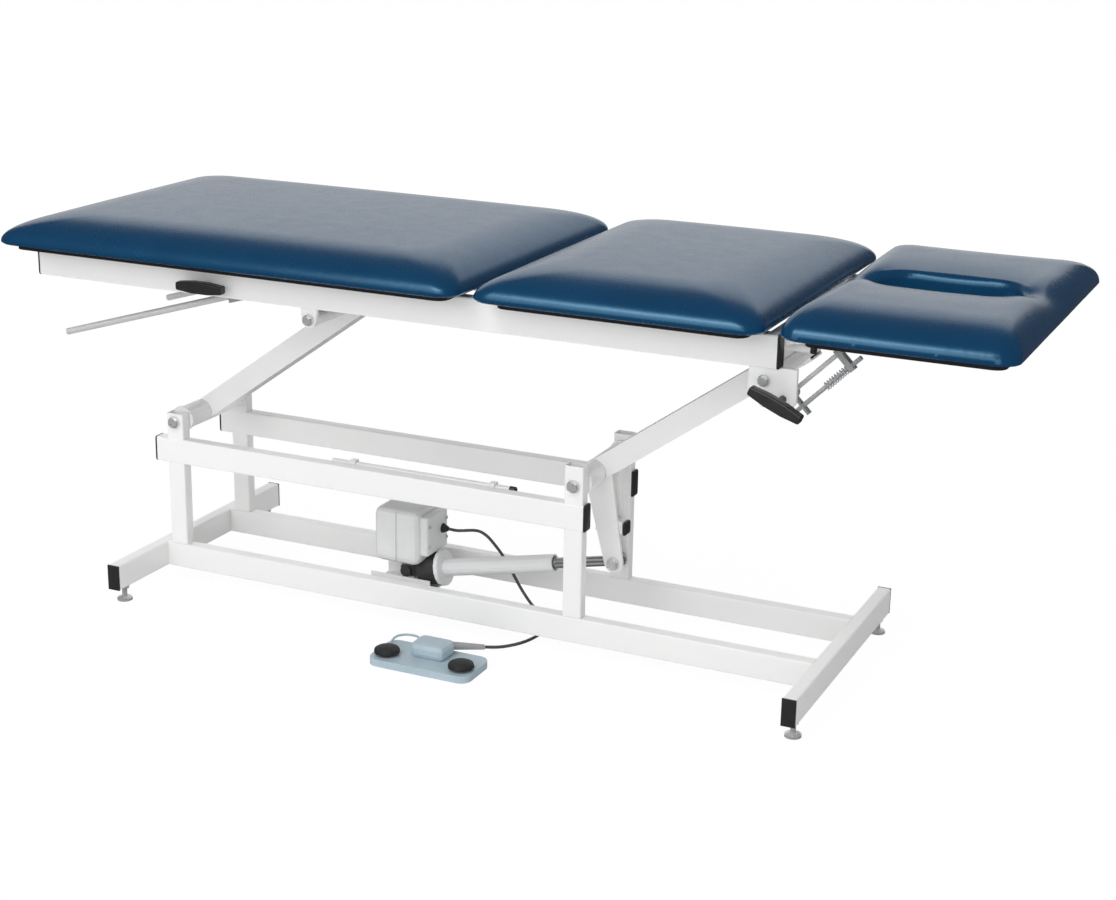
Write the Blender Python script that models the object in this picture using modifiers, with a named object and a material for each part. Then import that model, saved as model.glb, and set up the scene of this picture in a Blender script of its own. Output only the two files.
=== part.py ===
"""Powered treatment table with a three-section top, a parallel-arm lift and a foot pedal.

Metres, +Z up.  X runs along the table with the head end at +X, and the origin is on the floor
under the middle of the top.  Every moving piece is placed from its joint's axis.
"""
import math

import bmesh
import bpy
from mathutils import Matrix, Vector

# Fits
GAP = 0.0003
RUNNING = 0.0003
OVERRUN = 0.004
FIT_PLAY = 0.0008
WELD_DISTANCE = 0.000002

# Top
TABLE_LENGTH = 1.930
CUSHION_WIDTH = 0.686
FOOT_SECTION_SHARE = 0.5057
HEAD_SECTION_SHARE = 0.201036
CUSHION_SPACING = 0.026
CUSHION_CORNER = 0.035
CUSHION_SKIRT = 0.006
CUSHION_CROWN = 0.046
CROWN_REACH = 0.126
CUSHION_TUCK = 0.009
INSET_SHARES = (0, 0.02, 0.06, 0.14, 0.27, 0.45, 0.7, 1)
FACE_INSET_SHARES = (0.04, 0.12, 0.26, 0.48, 0.75, 1)
RING_STEPS = 5
BOARD_THICKNESS = 0.012
BOARD_INSET = 0.034
BOARD_CORNER = 0.020
SLOT_LENGTH = 0.250
SLOT_WIDTH = 0.120
SLOT_FROM_REAR = 0.058
SLOT_LIP = 0.014

# Steel tube
TUBE_WIDTH = 0.0254
TUBE_HEIGHT = 0.050
TUBE_WALL = 0.002
TUBE_CORNER = 0.003
VENT_RADIUS = 0.003
CAP_LIP = 0.003
CAP_PLUG = 0.012

# Base
BASE_CLEARANCE = 0.0305
BASE_CROSS_LENGTH = 0.571
RAIL_SPACING = 0.224
FOOT_CROSS_X = -0.7584
HEAD_CROSS_X = 0.6163
LEVELLER_INSET = 0.030
LEVELLER_PAD_RADIUS = 0.015
LEVELLER_PAD_HEIGHT = 0.008
LEVELLER_RIM_SHARE = 0.6
LEVELLER_STEM_RADIUS = 0.005
LEVELLER_NUT_RADIUS = 0.009
LEVELLER_NUT_HEIGHT = 0.006
LEVELLER_STEM_REACH = 0.022

# Posts and upper rails
POST_WIDTH = 0.037
POST_DEPTH = 0.0246
POST_X = -0.7175
POST_SPACING = 0.860
LOWER_POST_HEIGHT = 0.1685
UPPER_OVERHANG_FOOT = 0.044
UPPER_OVERHANG_HEAD = 0.020
FOOT_STUB_HEIGHT = 0.052
HEAD_STUB_HEIGHT = 0.072
LOWER_PIVOT_RISE = 0.035
STUB_BOLT_HEIGHT = 0.004

# Lift arms
ARM_LENGTH = 0.478
ARM_ANGLE_DEG = 35.5
ARM_DEPTH = 0.042
ARM_WIDTH = 0.060
ARM_WALL = 0.003
TORQUE_RADIUS = 0.0225
TORQUE_WALL = 0.005
HUB_RADIUS = 0.0255
HUB_THICKNESS = 0.005
PIVOT_SHAFT_RADIUS = 0.008
PIVOT_HEAD_RADIUS = 0.0115
PIVOT_HEAD_HEIGHT = 0.005
TOP_PIVOT_RADIUS = 0.014
TOP_BOLT_RADIUS = 0.006

# Lift lever and actuator
LEVER_DROP = 0.177
LEVER_LEAD = 0.037
LEVER_THICKNESS = 0.006
LEVER_TOP_WIDTH = 0.056
LEVER_END_RADIUS = 0.0185
LEVER_PIN_RADIUS = 0.007
EYE_RADIUS = 0.0155
EYE_WIDTH = 0.0248
BRACE_SIZE = 0.0245
BRACE_LENGTH = 0.050
BRACE_SHARE = 0.62
ACTUATOR_SLOPE_DEG = 12.0
ROD_RADIUS = 0.010
ROD_BORE_RADIUS = 0.006
ROD_LENGTH = 0.264
ROD_BORE_START = 0.036
SCREW_RADIUS = 0.004
SCREW_START = 0.143
BARREL_RADIUS = 0.017
BARREL_WALL = 0.003
BARREL_START = 0.130
BARREL_LENGTH = 0.240
FLANGE_RADIUS = 0.0355
FLANGE_THICKNESS = 0.008
GEARCASE_RADIUS = 0.032
GEARCASE_LENGTH = 0.040
REAR_PIVOT_REACH = 0.0345
FORK_THICKNESS = 0.005
FORK_HEIGHT = 0.022
REAR_PIN_RADIUS = 0.005
LUG_THICKNESS = 0.010
LUG_WIDTH = 0.039
LUG_RISE = 0.054
LUG_SLOT_RADIUS = 0.010
LUG_SLOT_LENGTH = 0.038
LUG_SLOT_LEAN = 0.011
CHANNEL_LENGTH = 0.130
CHANNEL_WIDTH = 0.072
CHANNEL_HEIGHT = 0.026
CHANNEL_THICKNESS = 0.003
CROSS_BAR_THICKNESS = 0.005
CROSS_BAR_WIDTH = 0.040
MOTOR_LENGTH = 0.098
MOTOR_DEPTH = 0.104
MOTOR_HEIGHT = 0.110
MOTOR_LIFT = 0.028
MOTOR_ROUND = 0.014
MOTOR_BACK = 0.009
BELL_LENGTH = 0.016
BELL_MARGIN = 0.010
GLAND_RADIUS = 0.010
GLAND_TIP_RADIUS = 0.0048
GLAND_LENGTH = 0.012
GLAND_SIDE = 0.020
GLAND_DROP = 0.048

# Top frame
TOP_RAIL_HEIGHT = 0.057
TOP_RAIL_RISE = 0.0225
TOP_RAIL_SPACING = 0.4866
TOP_RAIL_INSET = 0.049
TOP_RAIL_SHORT = 0.023
CROSS_DROP = 0.004
CROSS_HEIGHT = 0.046
CROSS_FOOT_INSET = 0.014
CROSS_HEAD_INSET = 0.0135
EAR_THICKNESS = 0.008
EAR_WIDTH = 0.034
EAR_RADIUS = 0.015
TOP_BOLT_HEAD_RADIUS = 0.010
TOP_BOLT_HEAD_HEIGHT = 0.005
BUMPER_SIDE = 0.200
BUMPER_LENGTH = 0.040
BUMPER_RADIUS = 0.0065
BUMPER_Z_DROP = 0.031
BUMPER_TIP = 0.008

# Foot section
FOOT_HINGE_KNUCKLE = 0.006
FOOT_HINGE_PIN = 0.0025
HINGE_STRAP_LENGTH = 0.060
HINGE_STRAP_THICKNESS = 0.003
HINGE_MID_WIDTH = 0.300
HINGE_SIDE_WIDTH = 0.040
ROD_SIDE = 0.167
SUPPORT_ROD_RADIUS = 0.0065
SUPPORT_ROD_LENGTH = 0.618
SUPPORT_PIVOT_X = -0.338
SUPPORT_PIVOT_DROP = 0.0135
CLEVIS_THICKNESS = 0.004
STRAP_THICKNESS = 0.003
CLEVIS_WIDTH = 0.026
CLEVIS_END_SHARE = 0.6667
CLEVIS_PIN_RADIUS = 0.003
CLAMP_X = -0.537
CLAMP_DROP = 0.037
CLAMP_ROD_OFFSET = 0.034
SADDLE_LENGTH = 0.040
SADDLE_THICKNESS = 0.005
SADDLE_CLEARANCE = 0.0006
CLAMP_SCREW_RADIUS = 0.006
CLAMP_COLLAR_RADIUS = 0.011

# T-handles
HANDLE_LENGTH = 0.098
HANDLE_THICKNESS = 0.018
HANDLE_MID_HEIGHT = 0.022
HANDLE_END_HEIGHT = 0.015
HANDLE_STANDOFF = 0.014
HANDLE_ROUND = 0.003
HEAD_HANDLE_TILT_DEG = -24.0

# Head section and its strut
GUSSET_OVERHANG = 0.033
GUSSET_DROP = 0.068
GUSSET_BACK = 0.049
GUSSET_CHAMFER = 0.024
HEAD_HINGE_REACH = 0.011
HEAD_HINGE_DROP = 0.011
HEAD_HINGE_PIN = 0.004
HEAD_HINGE_EAR = 0.009
HEAD_HINGE_THICKNESS = 0.005
HEAD_EAR_WIDTH = 0.060
STRUT_PIVOT_RADIUS = 0.096
STRUT_SIDE = 0.200
STRUT_ROD_RADIUS = 0.004
STRUT_TAIL = 0.034
STRUT_SPACING = 0.0285
STRUT_OUTER_START = -0.012
STRUT_BRACKET_AT = 0.108
STRUT_BRACKET_THICKNESS = 0.010
STRUT_BRACKET_HALF = 0.008
STRUT_SPRING_RADIUS = 0.0068
STRUT_SPRING_WIRE = 0.0009
STRUT_SPRING_LENGTH = 0.050
STRUT_SPRING_TURNS = 9
STRUT_EYE_RADIUS = 0.007
STRUT_EYE_WIDTH = 0.0084
YOKE_RADIUS = 0.0115
YOKE_WIDTH = 0.018
LINK_THICKNESS = 0.004
LINK_HALF = 0.007
LINK_TIP = 0.010

# Fixed bar on the lift frame
SIDE_BAR_START = -0.378
SIDE_BAR_END = 0.012
SIDE_BAR_RADIUS = 0.006
SIDE_BAR_RISE = 0.0085
SIDE_CLIP_WIDTH = 0.012
SIDE_CLIP_THICKNESS = 0.0025
SIDE_CLIP_SHARE = 0.12

# Foot pedal
PEDAL_X = -0.075
PEDAL_Y = -0.270
PEDAL_LENGTH = 0.205
PEDAL_DEPTH = 0.100
PEDAL_PLATE = 0.014
PEDAL_CORNER = 0.020
PEDAL_HUMP_LENGTH = 0.070
PEDAL_HUMP_DEPTH = 0.052
PEDAL_HUMP_HEIGHT = 0.030
PEDAL_HUMP_BACK = 0.016
PAD_RADIUS = 0.024
PAD_HEIGHT = 0.012
PAD_EDGE_SHARE = 0.4
PAD_RIM_SHARES = (0.5, 0.8, 0.95)
PAD_SIDE = 0.076
PAD_FRONT = 0.018
PAD_TRAVEL = 0.004
PAD_STEM_RADIUS = 0.007
PAD_WELL = 0.008
RELIEF_RADIUS = 0.008
RELIEF_TIP_RADIUS = 0.005
PEDAL_LOOP_WIRE = 0.0022
PEDAL_LOOP_WIDTH = 0.050
PEDAL_LOOP_REACH = 0.030
PEDAL_LOOP_RISE = 0.006

# Cord between the motor box and the pedal, chosen by hand
CORD_RADIUS = 0.003
CORD_LEAD = 0.020
CORD_GAP = 0.0022  # the case swings towards the cord by 1.5 mm
CORD_ROUTE = [
    (-0.1313, 0.032, 0.1546), (-0.1128, 0.038, 0.1456), (-0.0963, 0.044, 0.126),
    (-0.0819, 0.050, 0.1039), (-0.064, 0.052, 0.075), (-0.040, 0.050, 0.040),
    (-0.012, 0.043, 0.014), (0.018, 0.030, 0.0055), (0.040, 0.004, 0.0035), (0.048, -0.045, 0.0035),
    (0.038, -0.100, 0.0035), (0.012, -0.140, 0.0035), (-0.016, -0.160, 0.0050),
]
CORD_POINTS = 56

# Worked-out places
BASE_TOP = BASE_CLEARANCE + TUBE_HEIGHT
UPPER_BOTTOM = BASE_TOP + LOWER_POST_HEIGHT
UPPER_TOP = UPPER_BOTTOM + TUBE_HEIGHT
LOWER_PIVOT_Z = UPPER_TOP + LOWER_PIVOT_RISE
ARM_ANGLE = math.radians(ARM_ANGLE_DEG)
FOOT_PIVOT = Vector((POST_X, 0, LOWER_PIVOT_Z))
HEAD_PIVOT = Vector((POST_X + POST_SPACING, 0, LOWER_PIVOT_Z))
ARM_VECTOR = Vector((math.cos(ARM_ANGLE), 0, math.sin(ARM_ANGLE))) * ARM_LENGTH
FOOT_TOP_PIVOT = FOOT_PIVOT + ARM_VECTOR
HEAD_TOP_PIVOT = HEAD_PIVOT + ARM_VECTOR
TOP_RAIL_BOTTOM = FOOT_TOP_PIVOT.z + TOP_RAIL_RISE
TOP_RAIL_TOP = TOP_RAIL_BOTTOM + TOP_RAIL_HEIGHT
BOARD_BOTTOM = TOP_RAIL_TOP + GAP
BOARD_TOP = BOARD_BOTTOM + BOARD_THICKNESS
CUSHION_BOTTOM = BOARD_TOP + GAP
RAIL_Y = RAIL_SPACING / 2
TOP_RAIL_Y = TOP_RAIL_SPACING / 2
HEAD_PLATE_Y = TOP_RAIL_Y - TUBE_WIDTH / 2
FOOT_EDGE = -TABLE_LENGTH / 2
HEAD_EDGE = TABLE_LENGTH / 2
FOOT_CUSHION_END = FOOT_EDGE + TABLE_LENGTH * FOOT_SECTION_SHARE
HEAD_CUSHION_START = HEAD_EDGE - TABLE_LENGTH * HEAD_SECTION_SHARE
MID_CUSHION_START = FOOT_CUSHION_END + CUSHION_SPACING
MID_CUSHION_END = HEAD_CUSHION_START - CUSHION_SPACING
TOP_RAIL_START = FOOT_EDGE + TOP_RAIL_INSET
TOP_RAIL_END = HEAD_CUSHION_START - TOP_RAIL_SHORT
CROSS_FOOT_X = TOP_RAIL_START + CROSS_FOOT_INSET
CROSS_HEAD_X = TOP_RAIL_END - CROSS_HEAD_INSET
FOOT_HINGE = Vector((FOOT_CUSHION_END + CUSHION_SPACING / 2, 0, BOARD_BOTTOM + BOARD_THICKNESS / 2))
HEAD_HINGE = Vector((TOP_RAIL_END + HEAD_HINGE_REACH, 0, TOP_RAIL_TOP - HEAD_HINGE_DROP))
CRANK_PIN = HEAD_PIVOT + Vector((LEVER_LEAD, 0, -LEVER_DROP))
SLOPE = math.radians(ACTUATOR_SLOPE_DEG)
ACTUATOR_BACK = Vector((-math.cos(SLOPE), 0, -math.sin(SLOPE)))
ACTUATOR_UP = Vector((-math.sin(SLOPE), 0, math.cos(SLOPE)))
REAR_PIVOT_BACK = BARREL_START + BARREL_LENGTH + FLANGE_THICKNESS + GAP + GEARCASE_LENGTH + REAR_PIVOT_REACH
REAR_PIVOT = CRANK_PIN + ACTUATOR_BACK * REAR_PIVOT_BACK
FLANGE_BACK = CRANK_PIN + ACTUATOR_BACK * (BARREL_START + BARREL_LENGTH + FLANGE_THICKNESS)
MOTOR_TOP = REAR_PIVOT.z + MOTOR_LIFT + MOTOR_HEIGHT
MOTOR_END_X = FLANGE_BACK.x - MOTOR_BACK - BELL_LENGTH
GLAND_START = Vector((MOTOR_END_X + BELL_LENGTH + GAP, GLAND_SIDE, MOTOR_TOP - GLAND_DROP))
CORD_START = GLAND_START + Vector((GLAND_LENGTH + CORD_GAP, 0, 0))
CLAMP_AXIS = Vector((CLAMP_X, 0, TOP_RAIL_TOP - CLAMP_DROP))
SUPPORT_PIVOT = Vector((SUPPORT_PIVOT_X, 0, BOARD_BOTTOM - SUPPORT_PIVOT_DROP))
ROD_SPAN = SUPPORT_PIVOT - CLAMP_AXIS
SUPPORT_SLOPE = math.atan2(ROD_SPAN.z, ROD_SPAN.x) + math.asin(CLAMP_ROD_OFFSET / ROD_SPAN.length)
HANDLE_AXIS = Vector((HEAD_HINGE.x, 0, HEAD_HINGE.z - STRUT_PIVOT_RADIUS))
STRUT_PIVOT = Vector((HEAD_HINGE.x + STRUT_PIVOT_RADIUS, 0, HEAD_HINGE.z))

SIDES = 16
PIN_SIDES = 12
SHARP_DEG = 35
TINY_SHARE = 0.001
ACROSS = Vector((0, 1, 0))
UP = Vector((0, 0, 1))
ALONG = Vector((1, 0, 0))


def clear_scene():
    """Remove every object of the opened file."""
    for old in list(bpy.data.objects):
        bpy.data.objects.remove(old, do_unlink=True)


def new_collection(name):
    group = bpy.data.collections.new(name)
    bpy.context.scene.collection.children.link(group)
    return group


clear_scene()
TABLE = new_collection("treatment_table")
CUTTERS = new_collection("cutters")


def material(name, colour, roughness, metallic=0.0):
    """A plain Principled material."""
    made = bpy.data.materials.new(name)
    made.use_nodes = True
    shader = made.node_tree.nodes["Principled BSDF"]
    shader.inputs["Base Color"].default_value = (*colour, 1)
    shader.inputs["Roughness"].default_value = roughness
    shader.inputs["Metallic"].default_value = metallic
    return made


FINISHES = {
    "vinyl": ((0.03, 0.13, 0.27), 0.3, 0.0),
    "board": ((0.10, 0.08, 0.07), 0.7, 0.0),
    "white": ((0.86, 0.86, 0.85), 0.35, 0.0),
    "black": ((0.02, 0.02, 0.022), 0.45, 0.0),
    "zinc": ((0.62, 0.63, 0.64), 0.3, 0.9),
    "grey": ((0.62, 0.63, 0.62), 0.45, 0.2),
    "cast": ((0.40, 0.50, 0.53), 0.5, 0.1),
    "dark": ((0.12, 0.12, 0.125), 0.5, 0.2),
}


def place(name, mesh, finish):
    """Put a mesh in the scene as a named piece with a material of its own."""
    made = bpy.data.objects.new(name, mesh)
    mesh.materials.clear()
    mesh.materials.append(material(name + "_finish", *FINISHES[finish]))
    TABLE.objects.link(made)
    return made


def smooth(made):
    """Shade round pieces smooth and keep their corners sharp."""
    made.data.shade_smooth()
    made.data.set_sharp_from_angle(angle=math.radians(SHARP_DEG))
    return made


def set_origin(made, point):
    """Move a piece's origin to its joint without moving the piece."""
    shift = Matrix.Translation(-Vector(point))
    made.data.transform(shift @ made.matrix_world)
    made.matrix_world = Matrix.Translation(Vector(point))
    return made


def to_mesh(made):
    """Turn a curve or a modified object into a plain welded mesh."""
    bpy.context.view_layer.update()
    graph = bpy.context.evaluated_depsgraph_get()
    mesh = bpy.data.meshes.new_from_object(made.evaluated_get(graph))
    mesh.transform(made.matrix_world)
    work = bmesh.new()
    work.from_mesh(mesh)
    bmesh.ops.remove_doubles(work, verts=work.verts, dist=WELD_DISTANCE)
    bmesh.ops.recalc_face_normals(work, faces=work.faces)
    work.to_mesh(mesh)
    work.free()
    bpy.data.objects.remove(made, do_unlink=True)
    return mesh


def frame_matrix(direction, up, centre):
    """A placement whose local Z is the direction and whose local Y is near the up vector."""
    ahead = Vector(direction).normalized()
    side = Vector(up).cross(ahead).normalized()
    return Matrix.Translation(Vector(centre)) @ Matrix((side, ahead.cross(side), ahead)).transposed().to_4x4()


def block(size, centre, direction=ALONG, up=UP, bevel=0.0, segments=2):
    """A box: size runs along the direction, across it, and up."""
    work = bmesh.new()
    bmesh.ops.create_cube(work, size=1)
    bmesh.ops.scale(work, vec=(size[1], size[2], size[0]), verts=work.verts)
    if bevel:
        edges = work.edges[:]
        bmesh.ops.bevel(work, geom=edges, offset=bevel, segments=segments, affect="EDGES", profile=0.5)
    work.transform(frame_matrix(direction, up, centre))
    mesh = bpy.data.meshes.new("block")
    work.to_mesh(mesh)
    work.free()
    return mesh


def cylinder(start, end, radius, end_radius=None, sides=SIDES):
    """A round bar or a cone between two points."""
    first = Vector(start)
    last = Vector(end)
    work = bmesh.new()
    bmesh.ops.create_cone(
        work, cap_ends=True, segments=sides, radius1=radius,
        radius2=radius if end_radius is None else end_radius, depth=(last - first).length,
    )
    up = UP if abs((last - first).normalized().z) < 0.9 else ACROSS
    work.transform(frame_matrix(last - first, up, (first + last) / 2))
    mesh = bpy.data.meshes.new("cylinder")
    work.to_mesh(mesh)
    work.free()
    return mesh


def turned(profile, base, axis, steps=SIDES):
    """A profile of (radius, height) pairs, top to bottom, turned about an axis through the base."""
    mesh = bpy.data.meshes.new("profile")
    points = [(radius, 0, height) for radius, height in profile]
    mesh.from_pydata(points, [(i, i + 1) for i in range(len(points) - 1)], [])
    made = bpy.data.objects.new("profile", mesh)
    TABLE.objects.link(made)
    screw = made.modifiers.new("turn", "SCREW")
    screw.steps = steps
    screw.render_steps = steps
    screw.use_merge_vertices = True
    screw.merge_threshold = WELD_DISTANCE
    made.matrix_world = frame_matrix(axis, UP if abs(Vector(axis).z) < 0.9 else ACROSS, base)
    return to_mesh(made)


def outline_solid(loops, thickness, centre, direction=ACROSS, up=UP):
    """A flat outline with any holes, given as loops of (side, up) points, made solid."""
    curve = bpy.data.curves.new("outline", "CURVE")
    curve.dimensions = "2D"
    curve.fill_mode = "BOTH"
    curve.extrude = thickness / 2
    for loop in loops:
        spline = curve.splines.new("POLY")
        spline.points.add(len(loop) - 1)
        for point, (side, height) in zip(spline.points, loop):
            point.co = (side, height, 0, 1)
        spline.use_cyclic_u = True
    made = bpy.data.objects.new("outline", curve)
    TABLE.objects.link(made)
    made.matrix_world = frame_matrix(direction, up, centre)
    return to_mesh(made)


def plate(loops, thickness, y):
    """A plate standing along the table: its loops hold world (x, z) points."""
    return outline_solid([[(-x, z) for x, z in loop] for loop in loops], thickness, (0, y, 0), ACROSS, UP)


def arc(centre, radius, start_deg, end_deg, steps):
    """Points on an arc, in order."""
    turns = [math.radians(start_deg + (end_deg - start_deg) * i / steps) for i in range(steps + 1)]
    return [(centre[0] + radius * math.cos(t), centre[1] + radius * math.sin(t)) for t in turns]


def ring(centre, radius, sides=SIDES):
    """Points on a full circle."""
    return arc(centre, radius, 0, 360, sides)[:-1]


def rounded(width, height, radius, steps=2, centre=(0, 0)):
    """A rectangle with round corners."""
    side = width / 2 - radius
    rise = height / 2 - radius
    points = []
    for sign_x, sign_y, start in ((1, 1, 0), (-1, 1, 90), (-1, -1, 180), (1, -1, 270)):
        corner = (centre[0] + sign_x * side, centre[1] + sign_y * rise)
        points += arc(corner, radius, start, start + 90, steps)
    return points


def tube(start, end, width, height, wall=TUBE_WALL, up=UP):
    """A hollow rectangular tube between two points: its height lies along the up vector."""
    first = Vector(start)
    last = Vector(end)
    outer = rounded(width, height, TUBE_CORNER)
    inner = rounded(width - 2 * wall, height - 2 * wall, TUBE_CORNER - wall / 2, 1)
    return outline_solid([outer, inner], (last - first).length, (first + last) / 2, last - first, up)


def pipe(start, end, radius, bore, sides=SIDES):
    """A hollow round tube between two points."""
    first = Vector(start)
    last = Vector(end)
    up = UP if abs((last - first).normalized().z) < 0.9 else ACROSS
    loops = [ring((0, 0), radius, sides), ring((0, 0), bore, sides)]
    return outline_solid(loops, (last - first).length, (first + last) / 2, last - first, up)


def wire(points, radius, resolution=2):
    """A round wire through points, with closed ends."""
    curve = bpy.data.curves.new("wire", "CURVE")
    curve.dimensions = "3D"
    curve.bevel_depth = radius
    curve.bevel_resolution = resolution
    curve.use_fill_caps = True
    spline = curve.splines.new("POLY")
    spline.points.add(len(points) - 1)
    for point, place_at in zip(spline.points, points):
        point.co = (*place_at, 1)
    made = bpy.data.objects.new("wire", curve)
    TABLE.objects.link(made)
    return to_mesh(made)


def smooth_route(knots, count):
    """Evenly numbered points on a smooth curve through the knots."""
    padded = [knots[0]] + list(knots) + [knots[-1]]
    points = []
    for i in range(count):
        place_at = i * (len(knots) - 1) / (count - 1)
        leg = min(int(place_at), len(knots) - 2)
        t = place_at - leg
        a, b, c, d = (Vector(padded[leg + k]) for k in range(4))
        points.append(((2 * b) + (c - a) * t + (2 * a - 5 * b + 4 * c - d) * t ** 2
                       + (3 * b - a - 3 * c + d) * t ** 3) / 2)
    return points


def cut(mesh, cutters):
    """The mesh less each cutter."""
    body = bpy.data.objects.new("body", mesh)
    TABLE.objects.link(body)
    tools = []
    for shape in cutters:
        tool = bpy.data.objects.new("cutter", shape)
        CUTTERS.objects.link(tool)
        tool.hide_render = True
        tool.display_type = "WIRE"
        tools.append(tool)
        change = body.modifiers.new("cut", "BOOLEAN")
        change.operation = "DIFFERENCE"
        change.solver = "EXACT"
        change.object = tool
    result = to_mesh(body)
    for tool in tools:
        bpy.data.objects.remove(tool, do_unlink=True)
    return result


def fuse(meshes):
    """Overlapping solids joined into one."""
    body = bpy.data.objects.new("body", meshes[0])
    TABLE.objects.link(body)
    tools = []
    for shape in meshes[1:]:
        tool = bpy.data.objects.new("joined_shape", shape)
        CUTTERS.objects.link(tool)
        tools.append(tool)
        change = body.modifiers.new("join", "BOOLEAN")
        change.operation = "UNION"
        change.solver = "EXACT"
        change.object = tool
    result = to_mesh(body)
    for tool in tools:
        bpy.data.objects.remove(tool, do_unlink=True)
    return result


def end_plate(face, direction, width, height):
    """A closed end set a little into a tube: it overlaps the middle of the wall all round."""
    ahead = Vector(direction)
    centre = Vector(face) + ahead * (CAP_LIP / 2 - TUBE_WALL / 2)
    return block((CAP_LIP + TUBE_WALL, width - TUBE_WALL, height - TUBE_WALL), centre, ahead, UP)


def across(point, y):
    """The point moved to a place across the table."""
    return Vector((point.x, y, point.z))


def bar_across(point, start_y, end_y, radius, sides=SIDES):
    """A round bar across the table through a pivot point."""
    return cylinder(across(point, start_y), across(point, end_y), radius, sides=sides)


def end_cap(face, direction, up, width, height):
    """A plastic end cap: a lip on the tube's end and a plug inside its bore."""
    ahead = Vector(direction)
    work = bmesh.new()
    bmesh.ops.create_cube(work, size=1)
    bmesh.ops.scale(work, vec=(width, height, CAP_LIP), verts=work.verts)
    back = [f for f in work.faces if f.normal.z < -0.5]
    inset = TUBE_WALL + GAP + TUBE_CORNER / 2
    bmesh.ops.inset_region(work, faces=back, thickness=inset, use_even_offset=True)
    moved = bmesh.ops.extrude_face_region(work, geom=back)
    verts = [item for item in moved["geom"] if isinstance(item, bmesh.types.BMVert)]
    bmesh.ops.translate(work, vec=(0, 0, -CAP_PLUG), verts=verts)
    bmesh.ops.delete(work, geom=back, context="FACES")
    work.transform(frame_matrix(ahead, up, Vector(face) + ahead * (GAP + CAP_LIP / 2)))
    mesh = bpy.data.meshes.new("cap")
    work.to_mesh(mesh)
    work.free()
    return mesh


def t_handle(name, axis_point, tilt_deg, y, screw):
    """A black T-handle bar with a thick middle and slimmer ends, and the screw that it turns."""
    half = HANDLE_LENGTH / 2
    mid = HANDLE_MID_HEIGHT / 2
    end = HANDLE_END_HEIGHT / 2
    quarter = half / 3
    points = [(half, -end), (half, end), (quarter, mid), (-quarter, mid), (-half, end), (-half, -end),
              (-quarter, -mid), (quarter, -mid)]
    tilt = math.radians(tilt_deg)
    turned_points = []
    for a, b in points:
        x = axis_point.x + a * math.cos(tilt) - b * math.sin(tilt)
        turned_points.append((x, axis_point.z + a * math.sin(tilt) + b * math.cos(tilt)))
    mesh = plate([turned_points], HANDLE_THICKNESS, y)
    work = bmesh.new()
    work.from_mesh(mesh)
    bmesh.ops.dissolve_limit(work, angle_limit=0.01, verts=work.verts, edges=work.edges)
    bmesh.ops.bevel(work, geom=work.edges[:], offset=HANDLE_ROUND, segments=2, affect="EDGES", profile=0.5)
    work.to_mesh(mesh)
    work.free()
    return set_origin(smooth(place(name, fuse([mesh, screw]), "black")), across(axis_point, 0))


def base_frame():
    """The welded base: two cross tubes and two rails, with its end caps and levelling feet."""
    middle_z = BASE_CLEARANCE + TUBE_HEIGHT / 2
    half = BASE_CROSS_LENGTH / 2
    foot_y = half - LEVELLER_INSET
    weld = TUBE_WIDTH / 2 - TUBE_WALL / 2
    tubes = []
    holes = []
    for name, x, inward in (("foot", FOOT_CROSS_X, 1), ("head", HEAD_CROSS_X, -1)):
        cross = tube((x, -half, middle_z), (x, half, middle_z), TUBE_WIDTH, TUBE_HEIGHT)
        vents = [
            cylinder((x, y, middle_z), (x + inward * TUBE_WIDTH, y, middle_z), VENT_RADIUS, sides=PIN_SIDES)
            for y in (-RAIL_Y, RAIL_Y)
        ]
        tubes.append(cut(cross, vents))
        for sign, side in ((-1, "near"), (1, "far")):
            spot = Vector((x, sign * foot_y, 0))
            holes.append(cylinder(
                spot + UP * (BASE_CLEARANCE - OVERRUN), spot + UP * (BASE_CLEARANCE + OVERRUN),
                LEVELLER_STEM_RADIUS + RUNNING, sides=PIN_SIDES,
            ))
            cap = end_cap((x, sign * half, middle_z), ACROSS * sign, UP, TUBE_WIDTH, TUBE_HEIGHT)
            place(f"base_end_cap_{name}_{side}", cap, "black")
            levelling_foot(f"levelling_foot_{name}_{side}", spot)
    for y in (-RAIL_Y, RAIL_Y):
        start = (FOOT_CROSS_X + weld, y, middle_z)
        tubes.append(tube(start, (HEAD_CROSS_X - weld, y, middle_z), TUBE_WIDTH, TUBE_HEIGHT))
    place("base_frame", cut(fuse(tubes), holes), "white")


def levelling_foot(name, spot):
    """A turned foot with its pad, jam nut and stem, standing on the floor."""
    nut_top = BASE_CLEARANCE - GAP
    nut_bottom = nut_top - LEVELLER_NUT_HEIGHT
    stem_top = BASE_CLEARANCE + LEVELLER_STEM_REACH
    profile = [
        (0, stem_top), (LEVELLER_STEM_RADIUS, stem_top), (LEVELLER_STEM_RADIUS, nut_top),
        (LEVELLER_NUT_RADIUS, nut_top), (LEVELLER_NUT_RADIUS, nut_bottom), (LEVELLER_STEM_RADIUS, nut_bottom),
        (LEVELLER_STEM_RADIUS, LEVELLER_PAD_HEIGHT),
        (LEVELLER_PAD_RADIUS, LEVELLER_PAD_HEIGHT * LEVELLER_RIM_SHARE), (LEVELLER_PAD_RADIUS, 0), (0, 0),
    ]
    set_origin(smooth(place(name, turned(profile, spot, UP, PIN_SIDES), "zinc")), spot)


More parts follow.
